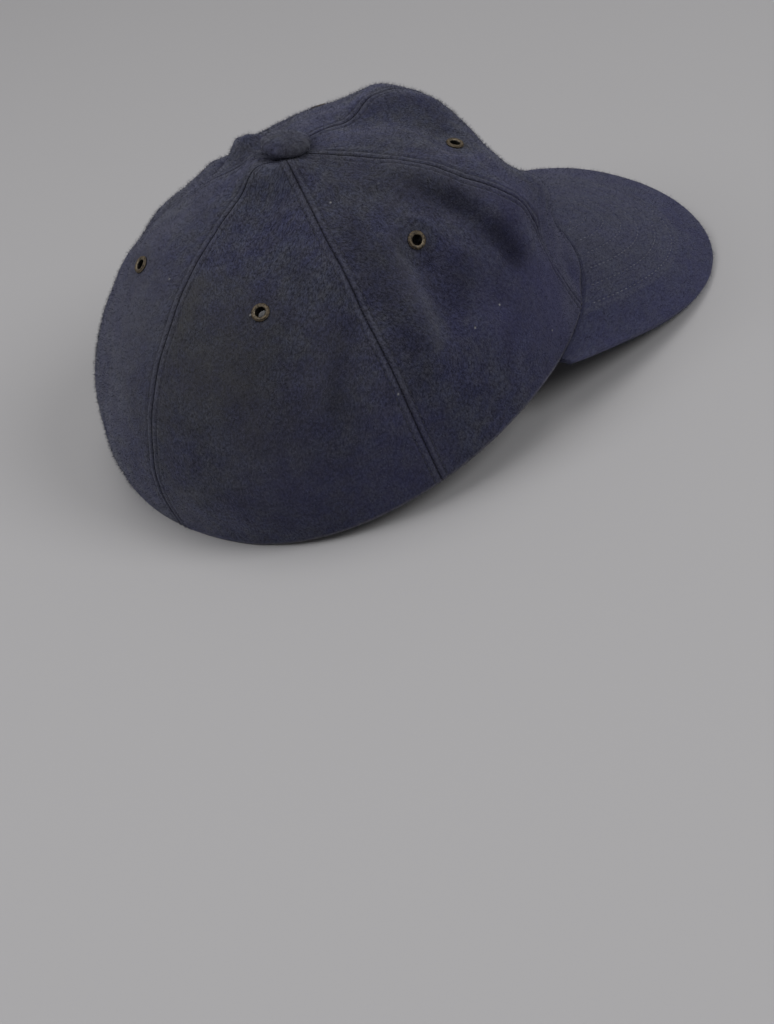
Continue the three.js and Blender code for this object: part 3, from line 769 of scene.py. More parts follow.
# %% Wear patches, painted light and painted shade
DUST_PATCHES = (
    (150, 0.4, 36, 1.0),
    (128, 0.33, 22, 0.8),
    (170, 0.25, 28, 0.6),
    (100, 0.72, 24, 0.3),
    (97, 0.46, 15, 0.8),
    (60, 0.72, 26, 0.6),
    (205, 0.45, 34, 0.5),
    (20, 0.8, 22, 0.2),
    (240, 0.6, 30, 0.6),
    (300, 0.5, 36, 0.5),
)
DUST_LINES = (
    (175.5, 0.66, 173, 0.06, 7.0, 0.9),
    (187, 0.32, 188, 0.06, 4.0, 0.5),
)
DYE_PATCHES = (
    (66, 0.1, 30, 1.0),
    (80, 0.22, 22, 0.7),
    (58, 0.3, 16, 0.8),
    (50, 0.06, 30, 0.8),
    (118, 0.08, 26, 0.5),
    (140, 0.14, 22, 0.4),
    (330, 0.3, 40, 0.6),
    (225, 0.5, 24, 0.4),
)
# painted light: these patches make the two left panels paler
PAINTED_LIGHT_PATCHES = (
    (200, 0.45, 26, 0.7),
    (195, 0.25, 24, 0.6),
    (222, 0.62, 26, 0.4),
    (205, 0.1, 26, 0.4),
    (240, 0.4, 40, 0.4),
)
# painted light: these lines make some fold crests and a strip above the visor paler
PAINTED_LIGHT_LINES = (
    (74, 0.66, 72.3, 0.3, 4.0, 0.4),
    (90, 0.56, 99, 0.28, 5.0, 0.4),
    (124, 0.4, 130, 0.3, 7.0, 0.25),
    (62, 0.74, 62, 0.4, 4.0, 0.3),
    (25, 0.17, 44, 0.1, 6.0, 0.45),
    (44, 0.1, 63, 0.05, 6.0, 0.45),
)
# painted shade: these lines darken the hollows of the dents and a few dim areas
PAINTED_SHADE_LINES = (
    (71, 0.64, 68.5, 0.5, 5.5, 0.7),
    (68.5, 0.5, 68, 0.26, 5.0, 0.9),
    (68, 0.32, 68, 0.26, 4.5, 0.5),
    (76, 0.25, 79, 0.22, 5.0, 0.5),
    (85, 0.5, 89, 0.28, 5.0, 0.4),
    (101, 0.68, 104.5, 0.24, 7.0, 0.5),
    (117, 0.44, 127, 0.28, 4.5, 0.65),
    (83, 0.37, 87, 0.3, 6.5, 0.6),
    (144, 0.44, 136, 0.26, 24, 0.35),
    (19, 0.54, 16, 0.37, 12, 0.3),
)


def patches(points, rows):
    total = np.zeros(points.shape[:-1])
    for azimuth, level, radius, strength in rows:
        apart = ((points - smooth_crown(azimuth, level)) ** 2).sum(-1)
        total = np.maximum(total, strength * np.exp(-apart / radius ** 2))
    return total


# these counts include the painted light patches and the painted light and painted shade lines
print("dust, dye and painted light patches", len(DUST_PATCHES + DYE_PATCHES + PAINTED_LIGHT_PATCHES))
print("dusty, painted light and painted shade lines", len(DUST_LINES + PAINTED_LIGHT_LINES + PAINTED_SHADE_LINES))

# %% Turn a grid of points into a cloth mesh
def grid_mesh(points):
    rows, columns = points.shape[0] - 1, points.shape[1] - 1
    cloth = bmesh.new()
    bmesh.ops.create_grid(cloth, x_segments=columns, y_segments=rows, size=1.0)
    cloth.verts.ensure_lookup_table()
    flat = np.array([v.co for v in cloth.verts])
    column = np.rint((flat[:, 0] + 1) / 2 * columns).astype(int)
    row = np.rint((flat[:, 1] + 1) / 2 * rows).astype(int)
    tag = cloth.verts.layers.int.new("at")
    places = resting(points[row, column]).tolist()
    for vertex, place, at in zip(cloth.verts, places, (row * (columns + 1) + column).tolist()):
        vertex.co = place
        vertex[tag] = at
    return cloth, tag


def add_masks(mesh, **masks):
    for label, values in masks.items():
        layer = mesh.attributes.new(label, "FLOAT", "POINT")
        layer.data.foreach_set("value", np.broadcast_to(values, len(mesh.vertices)).astype(np.float32))


def add_nap(mesh, values):
    layer = mesh.attributes.new("nap", "FLOAT_VECTOR", "POINT")
    layer.data.foreach_set("vector", np.asarray(values, np.float32).ravel())


def finish_piece(name, mesh, finish, slot, *nodes):
    piece = bpy.data.objects.new(name, mesh)
    bpy.context.scene.collection.objects.link(piece)
    mesh.materials.clear()
    mesh.materials.append(finish)
    mesh.polygons.foreach_set("use_smooth", np.ones(len(mesh.polygons), bool))
    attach(piece, "root")
    if nodes:
        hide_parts(*nodes)
    return piece


print("mesh helpers ready")

# %% [markdown]
# ## The six felt panels
# Each panel is cut from flat felt, sewn at both sides and gathered at the button. Its grid is made
# with one operator and bent into place, the vent is cut out where its eyelet goes, and a Solidify
# modifier gives the felt its thickness inward, so the outside stays where it was shaped.

# %% Cut the vent and build each panel
VENT_RADIUS = 2.6
SEAM_DUST, SEAM_DUST_WIDTH = 0.45, 5.0
PAINTED_LIGHT_PANELS = ("back_left", "side_left")
EDGE_OFF = 20.0


def cut_vent(cloth, centre, normal):
    centre = Vector(resting(centre))
    axis = Vector(turned(normal))
    def off_axis(point):
        away = point - centre
        return (away - axis * away.dot(axis)).length if away.length < 0.02 else 1.0
    inside = [f for f in cloth.faces if off_axis(f.calc_center_median()) < VENT_RADIUS * MM]
    bmesh.ops.delete(cloth, geom=inside, context="FACES")
    loose = [v for v in cloth.verts if not v.link_faces]
    bmesh.ops.delete(cloth, geom=loose, context="VERTS")
    ring = [v for v in cloth.verts if v.is_boundary and off_axis(v.co) < 2 * VENT_RADIUS * MM]
    for vertex in ring:
        away = vertex.co - centre
        radial = (away - axis * away.dot(axis)).normalized()
        vertex.co = centre + axis * away.dot(axis) + radial * VENT_RADIUS * MM
    return len(ring)


def build_panel(name):
    grid = GRIDS[name]
    cloth, tag = grid_mesh(grid["points"])
    cloth.normal_update()
    cloth.faces.ensure_lookup_table()
    middle = cloth.faces[len(cloth.faces) // 2]
    outward = Vector(turned(grid["normals"][ROWS // 2, COLUMNS // 2]))
    if middle.normal.dot(outward) < 0:
        bmesh.ops.reverse_faces(cloth, faces=cloth.faces)
    ring = cut_vent(cloth, *SEATS[name])
    at = np.array([v[tag] for v in cloth.verts])
    mesh = mesh_from("felt_" + name, cloth)
    pick = lambda key: grid[key].reshape(-1)[at]
    nearest = np.minimum(pick("from_first"), pick("from_last"))
    points = grid["points"].reshape(-1, 3)[at]
    nap = [pick("run") + grid["first"], pick("climb"), np.full(len(at), grid["first"])]
    add_nap(mesh, np.stack(nap, axis=1) * MM)
    seam_dust = SEAM_DUST * np.exp(-(nearest / SEAM_DUST_WIDTH) ** 2)
    dust_bands = np.clip(fold_rise(points, DUST_LINES), 0, 1)
    dust = np.maximum(np.maximum(patches(points, DUST_PATCHES), dust_bands), seam_dust)
    # painted light: paler patches on the two left panels and paler lines on the others; the shade mask is
    # painted shade
    faded = patches(points, PAINTED_LIGHT_PATCHES) if name in PAINTED_LIGHT_PANELS else fold_rise(points, PAINTED_LIGHT_LINES)
    add_masks(mesh, seam=nearest, edge=pick("climb"), dust=dust, dye=patches(points, DYE_PATCHES),
              shade=np.clip(fold_rise(points, PAINTED_SHADE_LINES), 0, 1), fade=np.clip(faded, 0, 1))
    piece = finish_piece("felt_" + name, mesh, CROWN_FELT, "crown_felt", "panel_" + name)
    wall = piece.modifiers.new("felt_thickness", "SOLIDIFY")
    wall.thickness = FELT * MM
    wall.offset = -1
    print(piece.name, "faces", len(mesh.polygons), "vent ring", ring)
    return piece


PIECES = {name: build_panel(name) for name in PANELS}


# %% [markdown]
# ## The visor
# A curved board is covered in the same felt on both faces, and rows of stitches quilt the layers
# together along lines that follow the outer edge. One grid wraps the whole of it, along the top,
# round the rolled edge and back along the underside, and a bridge closes it under the crown.
# Every row of stitches pulls the felt down a little, on both faces.

# %% Visor outline and its ruled top
VISOR_HALF_WIDTH = 86.9
VISOR_CENTRE = 55.4
VISOR_REACH = 104.3
VISOR_POWER = 2.69
VISOR_START = 71.7
VISOR_HEIGHT = 6.4
VISOR_SLOPE = 0.469
VISOR_CURL = 25.0
VISOR_CURL_AT = 85.0
VISOR_CORNER = 74.4
VISOR_EDGE_TURN = 99.3
VISOR_MARGIN = 0.6
VISOR_DROP = -0.3


def visor_edge(turn):
    x = -VISOR_HALF_WIDTH * power(np.sin(np.radians(turn)), 2 / VISOR_POWER)
    ahead = VISOR_CENTRE + VISOR_REACH * power(np.cos(np.radians(turn)), 2 / VISOR_POWER)
    fall = VISOR_SLOPE * (ahead - VISOR_START) + VISOR_CURL * (x / VISOR_CURL_AT) ** 2
    return np.stack([x, -ahead, VISOR_HEIGHT - fall], axis=-1)


def visor_margin(side, out):
    azimuth = VISOR_CORNER * side
    around = smooth_crown(azimuth + 0.8, 0.0) - smooth_crown(azimuth - 0.8, 0.0)
    outward = np.stack([around[..., 1], -around[..., 0]], axis=-1)
    outward /= np.linalg.norm(outward, axis=-1, keepdims=True)
    margin = smooth_crown(azimuth, 0.0)
    facing = np.sign((outward * margin[..., :2]).sum(-1, keepdims=True))
    margin[..., :2] += out * facing * outward
    margin[..., 2] = VISOR_DROP
    return margin


middle_length = np.linalg.norm(visor_edge(0.0) - visor_margin(np.array(0.0), VISOR_MARGIN))
print("visor is", round(2 * VISOR_HALF_WIDTH), "mm wide and", round(float(middle_length)), "mm long")

# %% Quilted grid of the visor
VISOR_THICK, VISOR_END_THICK, VISOR_END_FROM = 3.4, 1.4, 0.8
VISOR_ROUND = 0.9
VISOR_COLUMNS, VISOR_ACROSS, VISOR_TURNS = 220, 110, 8
FIRST_ROW, ROW_STEP, ROW_COUNT = 18.0, 7.2, 6
ROW_DIP, ROW_DIP_WIDTH = -0.2, 0.9
VISOR_BROAD_WAVE, VISOR_BROAD_RISE = 16.0, 0.16
VISOR_FINE_WAVE, VISOR_FINE_RISE = 5.0, 0.07
CALM_EDGE, CALM_BROW = 3.0, 0.06
ROW_DISTANCES = FIRST_ROW + ROW_STEP * np.arange(ROW_COUNT)


def quilting(distance):
    nearest = np.abs(distance[..., None] - ROW_DISTANCES).min(-1)
    return nearest, ROW_DIP * np.exp(-(nearest / ROW_DIP_WIDTH) ** 2)


def visor_faces():
    side = np.linspace(-1, 1, VISOR_COLUMNS + 1)
    across = np.linspace(0, 1, VISOR_ACROSS + 1)[:, None, None]
    margin = visor_margin(side, VISOR_MARGIN)
    edge = visor_edge(VISOR_EDGE_TURN * side)
    top = margin + (edge - margin) * across
    normals = grid_normals(top)
    normals *= np.sign(normals[..., 2:])
    f = np.clip((np.abs(side) - VISOR_END_FROM) / (1 - VISOR_END_FROM), 0, 1)
    thick = VISOR_THICK + (VISOR_END_THICK - VISOR_THICK) * smoothstep(f)
    fine_edge = visor_edge(np.linspace(-VISOR_EDGE_TURN, VISOR_EDGE_TURN, 900))
    away = np.sqrt(squared_distance(top, fine_edge))
    nearest, dip = quilting(away)
    wavy = VISOR_BROAD_RISE * unevenness(top, VISOR_BROAD_WAVE, 4)
    wavy += VISOR_FINE_RISE * unevenness(top, VISOR_FINE_WAVE, 5)
    hidden = np.clip(np.linspace(0, 1, VISOR_ACROSS + 1) / CALM_BROW, 0, 1)[:, None]
    lift = (dip + wavy * np.clip(away / CALM_EDGE, 0, 1)) * hidden
    upper = top + normals * lift[..., None]
    lower = top - normals * (thick + lift)[..., None]
    return {"upper": upper, "lower": lower, "normals": normals, "away": away, "row": nearest,
            "side": side, "thick": thick}


VISOR = visor_faces()
print("visor rows", ROW_DISTANCES.tolist(), "mm from the edge")

# %% Wrap, close and place the visor
VISOR_NAP = 400.0
OFF_ROW = 9


def visor_wrap():
    upper, lower, normals = VISOR["upper"], VISOR["lower"], VISOR["normals"]
    inner = visor_margin(VISOR["side"], -FELT)
    inner_low = inner - normals[0] * VISOR["thick"][:, None]
    outward = upper[-1] - upper[-2]
    outward /= np.linalg.norm(outward, axis=-1, keepdims=True)
    middle = (upper[-1] + lower[-1]) / 2
    turns = np.linspace(0, math.pi, VISOR_TURNS + 2)[1:-1]
    rolled = [middle + (upper[-1] - middle) * math.cos(t) + outward * VISOR_ROUND * math.sin(t)
              for t in turns]
    points = np.concatenate([inner[None], upper, np.array(rolled), lower[::-1], inner_low[None]])
    ends = np.zeros((1, VISOR_COLUMNS + 1))
    rim_rows = np.repeat(ends, VISOR_TURNS, axis=0)
    far = VISOR["away"]
    away = np.concatenate([ends + far[0], far, rim_rows, far[::-1], ends + far[0]])
    near_row = VISOR["row"]
    off = ends + OFF_ROW
    row = np.concatenate([off, near_row, rim_rows + OFF_ROW, near_row[::-1], off])
    return onto_floor(points), away, row


def build_visor():
    points, away, row_distance = visor_wrap()
    cloth, tag = grid_mesh(points)
    last = points.shape[0] - 1
    number = VISOR_COLUMNS + 1
    brow = [e for e in cloth.edges if all(v[tag] // number in (0, last) for v in e.verts)]
    bmesh.ops.bridge_loops(cloth, edges=brow)
    ends = [e for e in cloth.edges if e.is_boundary]
    caps = bmesh.ops.holes_fill(cloth, edges=ends, sides=0)["faces"]
    bmesh.ops.triangulate(cloth, faces=caps)
    bmesh.ops.recalc_face_normals(cloth, faces=cloth.faces)
    at = np.array([v[tag] for v in cloth.verts])
    mesh = mesh_from("visor_felt", cloth)
    climb = running_length(points, 0).reshape(-1)[at]
    nap = [points.reshape(-1, 3)[at][:, 0], climb, np.full(len(at), VISOR_NAP)]
    add_nap(mesh, np.stack(nap, axis=1) * MM)
    from_edge, from_row = away.reshape(-1)[at], row_distance.reshape(-1)[at]
    # through the seam group the quilting rows get a little painted shade, with a painted highlight beside
    # them
    quilted = 0.4 + 0.5 * np.minimum(from_row, 3.2)
    add_masks(mesh, seam=np.where(from_row > ROW_STEP / 2, EDGE_OFF, quilted), edge=EDGE_OFF,
              dust=0.3 - 0.2 * np.exp(-(from_edge / 25) ** 2),
              dye=0.45 + 0.25 * np.exp(-(from_edge / 18) ** 2), shade=0.0, fade=0.0)
    piece = finish_piece("visor_felt", mesh, VISOR_FELT, "visor_felt", "visor")
    print(piece.name, "faces", len(mesh.polygons), "end caps", len(caps))
    return piece


PIECES["visor"] = build_visor()

# %% [markdown]
# ## Stitches
# Every thread lies on the felt only between two holes, so a stitch is a short, fat, sunken
# bead. Drawn as separate beads, the rows catch the light as sewing does; a bump would stay flat at
# the outline. The crown's thread is as dark as its felt, so those rows are quiet; the visor's is
# paler.

# %% Thread finish
def thread_finish(name, dark, light):
    finish, tree, shader = new_finish(name, {
        "Roughness": 0.8, "Sheen Weight": 0.2, "Sheen Tint": (0.78, 0.79, 1.0, 1)})
    strand = speckle(tree, put(tree, "ShaderNodeTexCoord").outputs["Object"], 1500.0, 3.0, 0.6)
    colour = blend_colours(tree, remap(tree, strand, 0.35, 0.65), dark, light)
    tree.links.new(colour, shader.inputs["Base Color"])
    add_bump(tree, shader, strand, 0.4, 0.0002)
    return finish


THREAD = thread_finish("thread", (0.008, 0.009, 0.016, 1), (0.040, 0.042, 0.064, 1))
PALE_THREAD = thread_finish("pale_thread", (0.050, 0.053, 0.075, 1), (0.16, 0.165, 0.21, 1))
print("finishes", THREAD.name, PALE_THREAD.name)

# %% Lay stitches along lines
STITCH_PITCH = 2.9
STITCH_HALF = 1.05
STITCH_RADIUS = 0.26
TANGENT_REACH = 0.4


def even_steps(points, normals, pitch):
    length = running_length(points, 0)
    count = max(2, int(length[-1] / pitch))
    middle = (np.arange(count) + 0.5) * length[-1] / count
    at = lambda values, s: np.stack([np.interp(s, length, values[:, k]) for k in range(3)], axis=1)
    along = at(points, middle + TANGENT_REACH) - at(points, middle - TANGENT_REACH)
    return at(points, middle), along, at(normals, middle)


def add_stitches(cloth, points, normals, sink):
    places, along, out = even_steps(points, normals, STITCH_PITCH)
    row = bmesh.new()
    for place, tangent, normal in zip(resting(places), turned(along), turned(out)):
        tangent = Vector(tangent).normalized()
        side = tangent.cross(Vector(normal)).normalized()
        up = side.cross(tangent)
        spot = Vector(place) - up * sink * MM
        sized = (side * STITCH_RADIUS * MM, up * STITCH_RADIUS * MM, tangent * STITCH_HALF * MM)
        frame_of = Matrix.Translation(spot) @ Matrix(sized).transposed().to_4x4()
        bmesh.ops.create_uvsphere(row, u_segments=6, v_segments=4, radius=1.0, matrix=frame_of)
    bmesh.ops.recalc_face_normals(row, faces=row.faces)
    row_mesh = mesh_from("row", row)
    cloth.from_mesh(row_mesh)
    bpy.data.meshes.remove(row_mesh)
    return len(places)


def sewn_piece(name, lines, slot, finish, sink):
    cloth = bmesh.new()
    count = sum(add_stitches(cloth, points, normals, sink) for points, normals in lines)
    finish_piece(name, mesh_from(name, cloth), finish, slot)
    print(name, "stitches", count)


# %% Stitches beside the six seams
STITCHED_ROOM = 0.3
CROWN_SINK = 0.1


def beside_seam(grid, key):
    points, normals = [], []
    for row in range(1, ROWS + 1):
        room = float(grid["room"][row, 0])
        if room < STITCHED_ROOM:
            break
        away = grid[key][row]
        order = np.argsort(away)
        at = lambda values: [np.interp(STITCH_LINE * room, away[order], values[order, k]) for k in range(3)]
        points.append(at(grid["points"][row]))
        normals.append(at(grid["normals"][row]))
    return np.array(points), np.array(normals)


for name, after in NEIGHBOURS:
    lines = [beside_seam(GRIDS[name], "from_last"), beside_seam(GRIDS[after], "from_first")]
    sewn_piece("stitches_" + name + "_to_" + after, lines, "crown_felt", THREAD, CROWN_SINK)

# %% Stitches along the visor's rows
VISOR_SINK = 0.04


def visor_line(face, distance, sense):
    points, normals = [], []
    for column in range(VISOR_COLUMNS + 1):
        away = VISOR["away"][:, column]
        if away[4] < distance:
            continue
        at = lambda values: [np.interp(distance, away[::-1], values[::-1, column, k]) for k in range(3)]
        points.append(at(VISOR[face]))
        normals.append(at(VISOR["normals"] * sense))
    return np.array(points), np.array(normals)


for label, face, sense in (("top", "upper", 1), ("under", "lower", -1)):
    lines = [visor_line(face, distance, sense) for distance in ROW_DISTANCES]
    sewn_piece("visor_stitches_" + label, lines, "visor_felt", PALE_THREAD, VISOR_SINK)

# %% [markdown]
# ## The button
# Where the six tips meet, a domed button hides the joint. It is a small pressed shell wrapped in
# felt, so its outline is round, its skirt is tucked under, and the cloth is a little uneven. A
# profile spun about the button's axis gives the dome, and moved vertices give the unevenness. A
# spin can list its faces in another order each time, so they are sorted: the loose fibres that
# come later are counted face by face. The button leans, so the gathered felt under its skirt is
# drawn down until it meets the crown.

# %% Seat of the button
BUTTON_RADIUS, BUTTON_HEIGHT, BUTTON_SKIRT = 8.8, 4.2, 1.2
BUTTON_SEAT = np.array([-0.2496, -9.3903, 89.7251])
BUTTON_LEAN = np.array([-0.165, -0.29, 1.0])
CLEARANCE = 0.3
BUTTON_AXIS = BUTTON_LEAN / np.linalg.norm(BUTTON_LEAN)
lean_degrees = math.degrees(math.acos(BUTTON_AXIS[2]))
print("button leans", round(lean_degrees, 1), "degrees to the front")

# %% Height of the felt under the button
NECK_RINGS = (0.0, 2.2, 4.4, 6.2)
UNDER_ROWS = 40


def felt_under_button():
    lean = np.array(Vector((0, 0, 1)).rotation_difference(Vector(BUTTON_AXIS)).to_matrix())
    points = np.concatenate([grid["points"][-UNDER_ROWS:].reshape(-1, 3) for grid in GRIDS.values()])
    return (points - BUTTON_SEAT) @ lean


FELT_UNDER = felt_under_button()


def felt_height(x, y):
    apart = np.hypot(FELT_UNDER[:, 0] - x, FELT_UNDER[:, 1] - y)
    return float(FELT_UNDER[apart < apart.min() + 1.0, 2].max())


print("felt lies", round(felt_height(0, 0), 2), "mm from the middle of the button's underside")

# %% Spin the button
BUTTON_STEPS = 72
BUTTON_RINGS = 22
BUTTON_MASKS = {"seam": EDGE_OFF, "edge": EDGE_OFF, "dust": 0.6, "dye": 0.1, "shade": 0.0, "fade": 0.0}
BUTTON_NAP, BUTTON_NAP_TURN = 900.0, 4.0
PUCKERS, BUTTON_PUCKER = 11, 0.22


def face_place(face, count):
    corners = [vertex.index for vertex in face.verts]
    return min(corners) * count + max(corners)


def spun(profile, steps):
    body = bmesh.new()
    verts = [body.verts.new((radius, 0, height)) for radius, height in profile]
    edges = [body.edges.new(pair) for pair in zip(verts, verts[1:])]
    bmesh.ops.spin(body, geom=verts + edges, cent=(0, 0, 0), axis=(0, 0, 1), angle=2 * math.pi,
                   steps=steps, use_merge=True)
    bmesh.ops.remove_doubles(body, verts=body.verts, dist=1e-5)
    bmesh.ops.recalc_face_normals(body, faces=body.faces)
    body.verts.index_update()
    count = len(body.verts)
    body.faces.sort(key=lambda face: face_place(face, count))
    return body


def seat_matrix(centre, normal):
    lean = Vector((0, 0, 1)).rotation_difference(Vector(normal)).to_matrix().to_4x4()
    upright = Matrix.Translation(Vector(centre)) @ lean
    rest = Matrix.Translation(Vector(REST_SHIFT)) @ Matrix.Rotation(REST_TILT, 4, "X")
    return Matrix.Scale(MM, 4) @ rest @ upright


def button_profile():
    profile = [(radius, -1.0) for radius in NECK_RINGS]
    profile += [(BUTTON_RADIUS - 1.4, 0.0), (BUTTON_RADIUS - 0.6, 0.2), (BUTTON_RADIUS - 0.15, 0.6)]
    rise = BUTTON_HEIGHT - BUTTON_SKIRT
    for turn in np.linspace(0, math.pi / 2, BUTTON_RINGS):
        profile.append((BUTTON_RADIUS * math.cos(turn) ** 0.8, BUTTON_SKIRT + rise * math.sin(turn) ** 0.9))
    profile[-1] = (0.0, BUTTON_HEIGHT)
    return profile


def build_button():
    body = spun(button_profile(), BUTTON_STEPS)
    nap = []
    for vertex in body.verts:
        radius = math.hypot(vertex.co.x, vertex.co.y)
        turn = math.atan2(vertex.co.y, vertex.co.x)
        share = min(1.0, radius / BUTTON_RADIUS)
        pucker = BUTTON_PUCKER * share ** 4 * math.cos(PUCKERS * turn + 1.3 * math.sin(3 * turn))
        wavy = 0.5 * noise.noise(vertex.co * 0.28) + 0.18 * noise.noise(vertex.co * 0.8)
        grown = (radius + (pucker + wavy * share)) / radius if radius > 0.5 else 1.0
        if vertex.co.z > 0.3:
            vertex.co.x *= grown
            vertex.co.y *= grown
            vertex.co.z += 0.5 * wavy * (1 - share ** 3)
        if vertex.co.z < -0.5:
            vertex.co.z = min(0.0, felt_height(vertex.co.x, vertex.co.y) + CLEARANCE / 3)
        nap.append((turn * BUTTON_NAP_TURN, vertex.co.z + radius, BUTTON_NAP))
    body.transform(seat_matrix(BUTTON_SEAT, BUTTON_AXIS))
    mesh = mesh_from("button_felt", body)
    add_nap(mesh, np.array(nap) * MM)
    add_masks(mesh, **BUTTON_MASKS)
    return finish_piece("button_felt", mesh, BUTTON_FELT, "button_felt", "button")


PIECES["button"] = build_button()
print("button vertices", len(PIECES["button"].data.vertices))

# %% [markdown]
# ## Eyelets
# A vent eyelet is a drawn brass tube whose two ends are rolled over the felt. Years of handling
# have turned the flange a dull olive brown, and only the inner lip still shows tan metal. The bore
# is painted near black: painted shade inside the tube. Each is spun from one profile, with masks
# that know the radius.

# %% Aged brass
CRUST_DARK, CRUST_LIGHT = (0.014, 0.010, 0.006, 1), (0.165, 0.124, 0.076, 1)
BARE_DARK, BARE_LIGHT = (0.06, 0.048, 0.032, 1), (0.26, 0.215, 0.15, 1)
# painted shade: the bore of each eyelet is drawn near black
BORE_PAINTED_SHADE = (0.004, 0.003, 0.002, 1)


def brass_finish():
    finish, tree, shader = new_finish("aged_brass", {})
    lip = put(tree, "ShaderNodeAttribute", attribute_name="lip").outputs["Fac"]
    spot = speckle(tree, put(tree, "ShaderNodeTexCoord").outputs["Object"], 1400.0, 5.0, 0.7)
    stain = remap(tree, spot, 0.34, 0.66)
    crust = blend_colours(tree, stain, CRUST_DARK, CRUST_LIGHT)
    bare = blend_colours(tree, stain, BARE_DARK, BARE_LIGHT)
    bore = put(tree, "ShaderNodeAttribute", attribute_name="bore").outputs["Fac"]
    colour = blend_colours(tree, bore, blend_colours(tree, lip, crust, bare), BORE_PAINTED_SHADE)
    tree.links.new(colour, shader.inputs["Base Color"])
    tree.links.new(remap(tree, lip, 0.0, 1.0, 0.2, 0.6), shader.inputs["Metallic"])
    rough = maths(tree, "ADD", times(tree, stain, 0.2), 0.5)
    smoother = maths(tree, "SUBTRACT", rough, times(tree, lip, 0.2))
    tree.links.new(smoother, shader.inputs["Roughness"])
    add_bump(tree, shader, spot, 0.35, 0.0002)
    return finish


BRASS = brass_finish()
print("finish", BRASS.name)

# %% Spin the six eyelets
EYELET_STEPS = 48
EYELET_BORE, EYELET_BARREL, EYELET_FLANGE, EYELET_ROLL, EYELET_PROUD = 1.75, 2.3, 3.25, 3.0, 0.8
LIP_RADIUS, LIP_WIDTH = 2.0, 0.45
EYELET_WAVE, EYELET_OFFSET = 0.05, 3.7


def eyelet_profile():
    seat = CLEARANCE
    back = -FELT - CLEARANCE
    top = seat + EYELET_PROUD
    crest = (EYELET_BARREL + EYELET_FLANGE) / 2
    return [
        (EYELET_BORE, back - 0.2), (EYELET_BORE, top - 0.75), (EYELET_BORE + 0.05, top - 0.5),
        (EYELET_BORE + 0.2, top - 0.28), (EYELET_BARREL - 0.1, top - 0.1), (crest - 0.3, top),
        (crest + 0.15, top - 0.03), (EYELET_FLANGE - 0.4, top - 0.2), (EYELET_FLANGE - 0.12, seat + 0.45),
        (EYELET_FLANGE, seat + 0.15), (EYELET_FLANGE - 0.08, seat), (EYELET_BARREL, seat),
        (EYELET_BARREL, back), (EYELET_ROLL, back), (EYELET_ROLL, back - 0.25),
        (EYELET_ROLL - 0.3, back - 0.6), (EYELET_BARREL - 0.1, back - 0.7),
        (EYELET_BORE + 0.1, back - 0.45), (EYELET_BORE, back - 0.2),
    ]


def build_eyelet(name):
    body = spun(eyelet_profile(), EYELET_STEPS)
    offset = Vector((EYELET_OFFSET * list(EYELETS).index(name), 0, 0))
    lip, bore = [], []
    for vertex in body.verts:
        radius = math.hypot(vertex.co.x, vertex.co.y)
        on_top = vertex.co.z > 0
        bore.append(1.0 if radius < EYELET_BORE + 0.1 else 0.0)
        lip.append(max(0.0, 1 - abs(radius - LIP_RADIUS) / LIP_WIDTH) if on_top else 0.0)
        vertex.co.z += EYELET_WAVE * noise.noise(vertex.co * 0.9 + offset)
    body.transform(seat_matrix(*SEATS[name]))
    mesh = mesh_from("eyelet_brass_" + name, body)
    add_masks(mesh, lip=lip, bore=bore)
    return finish_piece("eyelet_brass_" + name, mesh, BRASS, "brass", "eyelet_" + name)


for name in EYELETS:
    PIECES["eyelet_" + name] = build_eyelet(name)
print("eyelets", len(EYELETS))

# %% [markdown]
# ## Loose fibres
# Brushed wool is never quite smooth: short fibres stand off the felt, soften its outline and break
# up its shade. A hair system would draw them too, but plain slivers of mesh travel with the part.
# A node tree scatters a three-sided sliver at seeded places on the cloth, leans each one its own
# way, and keeps the masks of the cloth under it, so the same finish colours both.

# %% Scatter slivers with a node tree
FIBRE_LENGTH, FIBRE_RADIUS = 1.6, 0.06
FIBRE_DENSITY = 1.3e6
FIBRE_LEAN, FIBRE_UPRIGHT = 0.9, 0.45
FIBRE_SHORTEST, FIBRE_LONGEST = 0.5, 1.25
FIBRE_SEED = 11


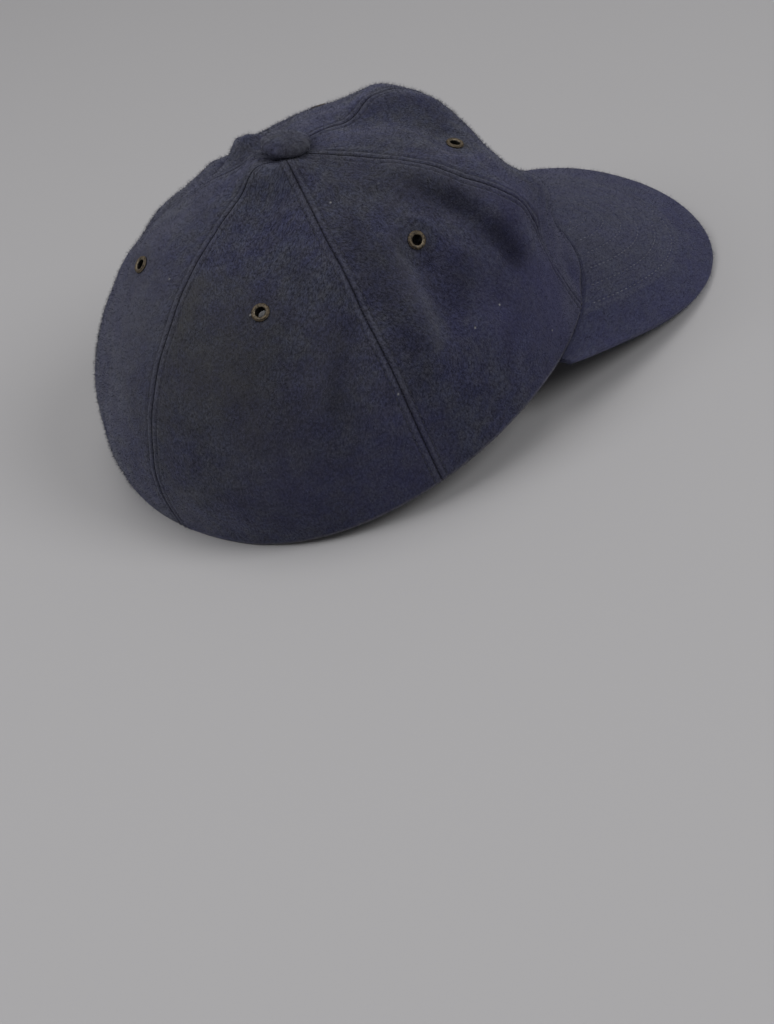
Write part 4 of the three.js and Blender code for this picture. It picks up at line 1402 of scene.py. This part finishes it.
def fibre_tree():
    tree = bpy.data.node_groups.new("loose_fibres", "GeometryNodeTree")
    tree.interface.new_socket("Cloth", in_out="INPUT", socket_type="NodeSocketGeometry")
    tree.interface.new_socket("Fibres", in_out="OUTPUT", socket_type="NodeSocketGeometry")
    entry, leave = tree.nodes.new("NodeGroupInput"), tree.nodes.new("NodeGroupOutput")
    named = put(tree, "GeometryNodeInputNamedAttribute", {"Name": "cover"}, data_type="FLOAT")
    cover = named.outputs["Attribute"]
    thick = put(tree, "ShaderNodeMath", {1: FIBRE_DENSITY}, {0: cover}, operation="MULTIPLY")
    spots = put(tree, "GeometryNodeDistributePointsOnFaces", {"Seed": FIBRE_SEED},
                {"Mesh": entry.outputs[0], "Density": thick.outputs[0]})
    leans = {"Min": [-FIBRE_LEAN] * 3, "Max": [FIBRE_LEAN] * 3, "Seed": FIBRE_SEED}
    lean = put(tree, "FunctionNodeRandomValue", leans, data_type="FLOAT_VECTOR")
    upright = put(tree, "ShaderNodeVectorMath", {"Scale": FIBRE_UPRIGHT}, {0: spots.outputs["Normal"]},
                  operation="SCALE")
    way = put(tree, "ShaderNodeVectorMath", links={0: upright.outputs[0], 1: lean.outputs["Value"]},
              operation="ADD")
    turn = put(tree, "FunctionNodeAlignRotationToVector", links={"Vector": way.outputs[0]}, axis="Z")
    lengths = {2: FIBRE_SHORTEST, 3: FIBRE_LONGEST, "Seed": FIBRE_SEED + 1}
    long = put(tree, "FunctionNodeRandomValue", lengths, data_type="FLOAT")
    sliver = put(tree, "GeometryNodeMeshCone", {
        "Vertices": 3, "Radius Top": 0.0, "Radius Bottom": FIBRE_RADIUS * MM, "Depth": FIBRE_LENGTH * MM},
        fill_type="NGON").outputs["Mesh"]
    grown = put(tree, "GeometryNodeInstanceOnPoints", links={
        "Points": spots.outputs["Points"], "Instance": sliver, "Rotation": turn.outputs["Rotation"],
        "Scale": long.outputs[1]}).outputs["Instances"]
    kept = put(tree, "GeometryNodeRealizeInstances", links={"Geometry": grown}).outputs["Geometry"]
    tree.links.new(kept, leave.inputs[0])
    return tree


FIBRE_TREE = fibre_tree()
print("node tree", FIBRE_TREE.name)

# %% Grow the fibres on every felt piece
EYELET_BARE = 3.6
FLOOR_BARE = 2.2


def fibre_cover(mesh):
    places = np.array([v.co for v in mesh.vertices])
    cover = np.ones(len(places))
    for centre, _ in SEATS.values():
        cover[np.linalg.norm(places - resting(centre), axis=1) < EYELET_BARE * MM] = 0
    cover[places[:, 2] < FLOOR_BARE * MM] = 0
    return cover


def grow_fibres(name, cloth, slot):
    source = bpy.data.objects.new("source", cloth.data.copy())
    bpy.context.scene.collection.objects.link(source)
    add_masks(source.data, cover=fibre_cover(source.data))
    scatter = source.modifiers.new("fibres", "NODES")
    scatter.node_group = FIBRE_TREE
    view = bpy.context.evaluated_depsgraph_get()
    mesh = bpy.data.meshes.new_from_object(source.evaluated_get(view))
    finish = cloth.data.materials[0]
    spare = source.data
    bpy.data.objects.remove(source)
    bpy.data.meshes.remove(spare)
    mesh.name = name
    finish_piece(name, mesh, finish, slot)
    print(name, "slivers", len(mesh.vertices) // 4)


for name in PANELS:
    grow_fibres("fibres_" + name, PIECES[name], "crown_felt")
grow_fibres("fibres_visor", PIECES["visor"], "visor_felt")
grow_fibres("fibres_button", PIECES["button"], "button_felt")
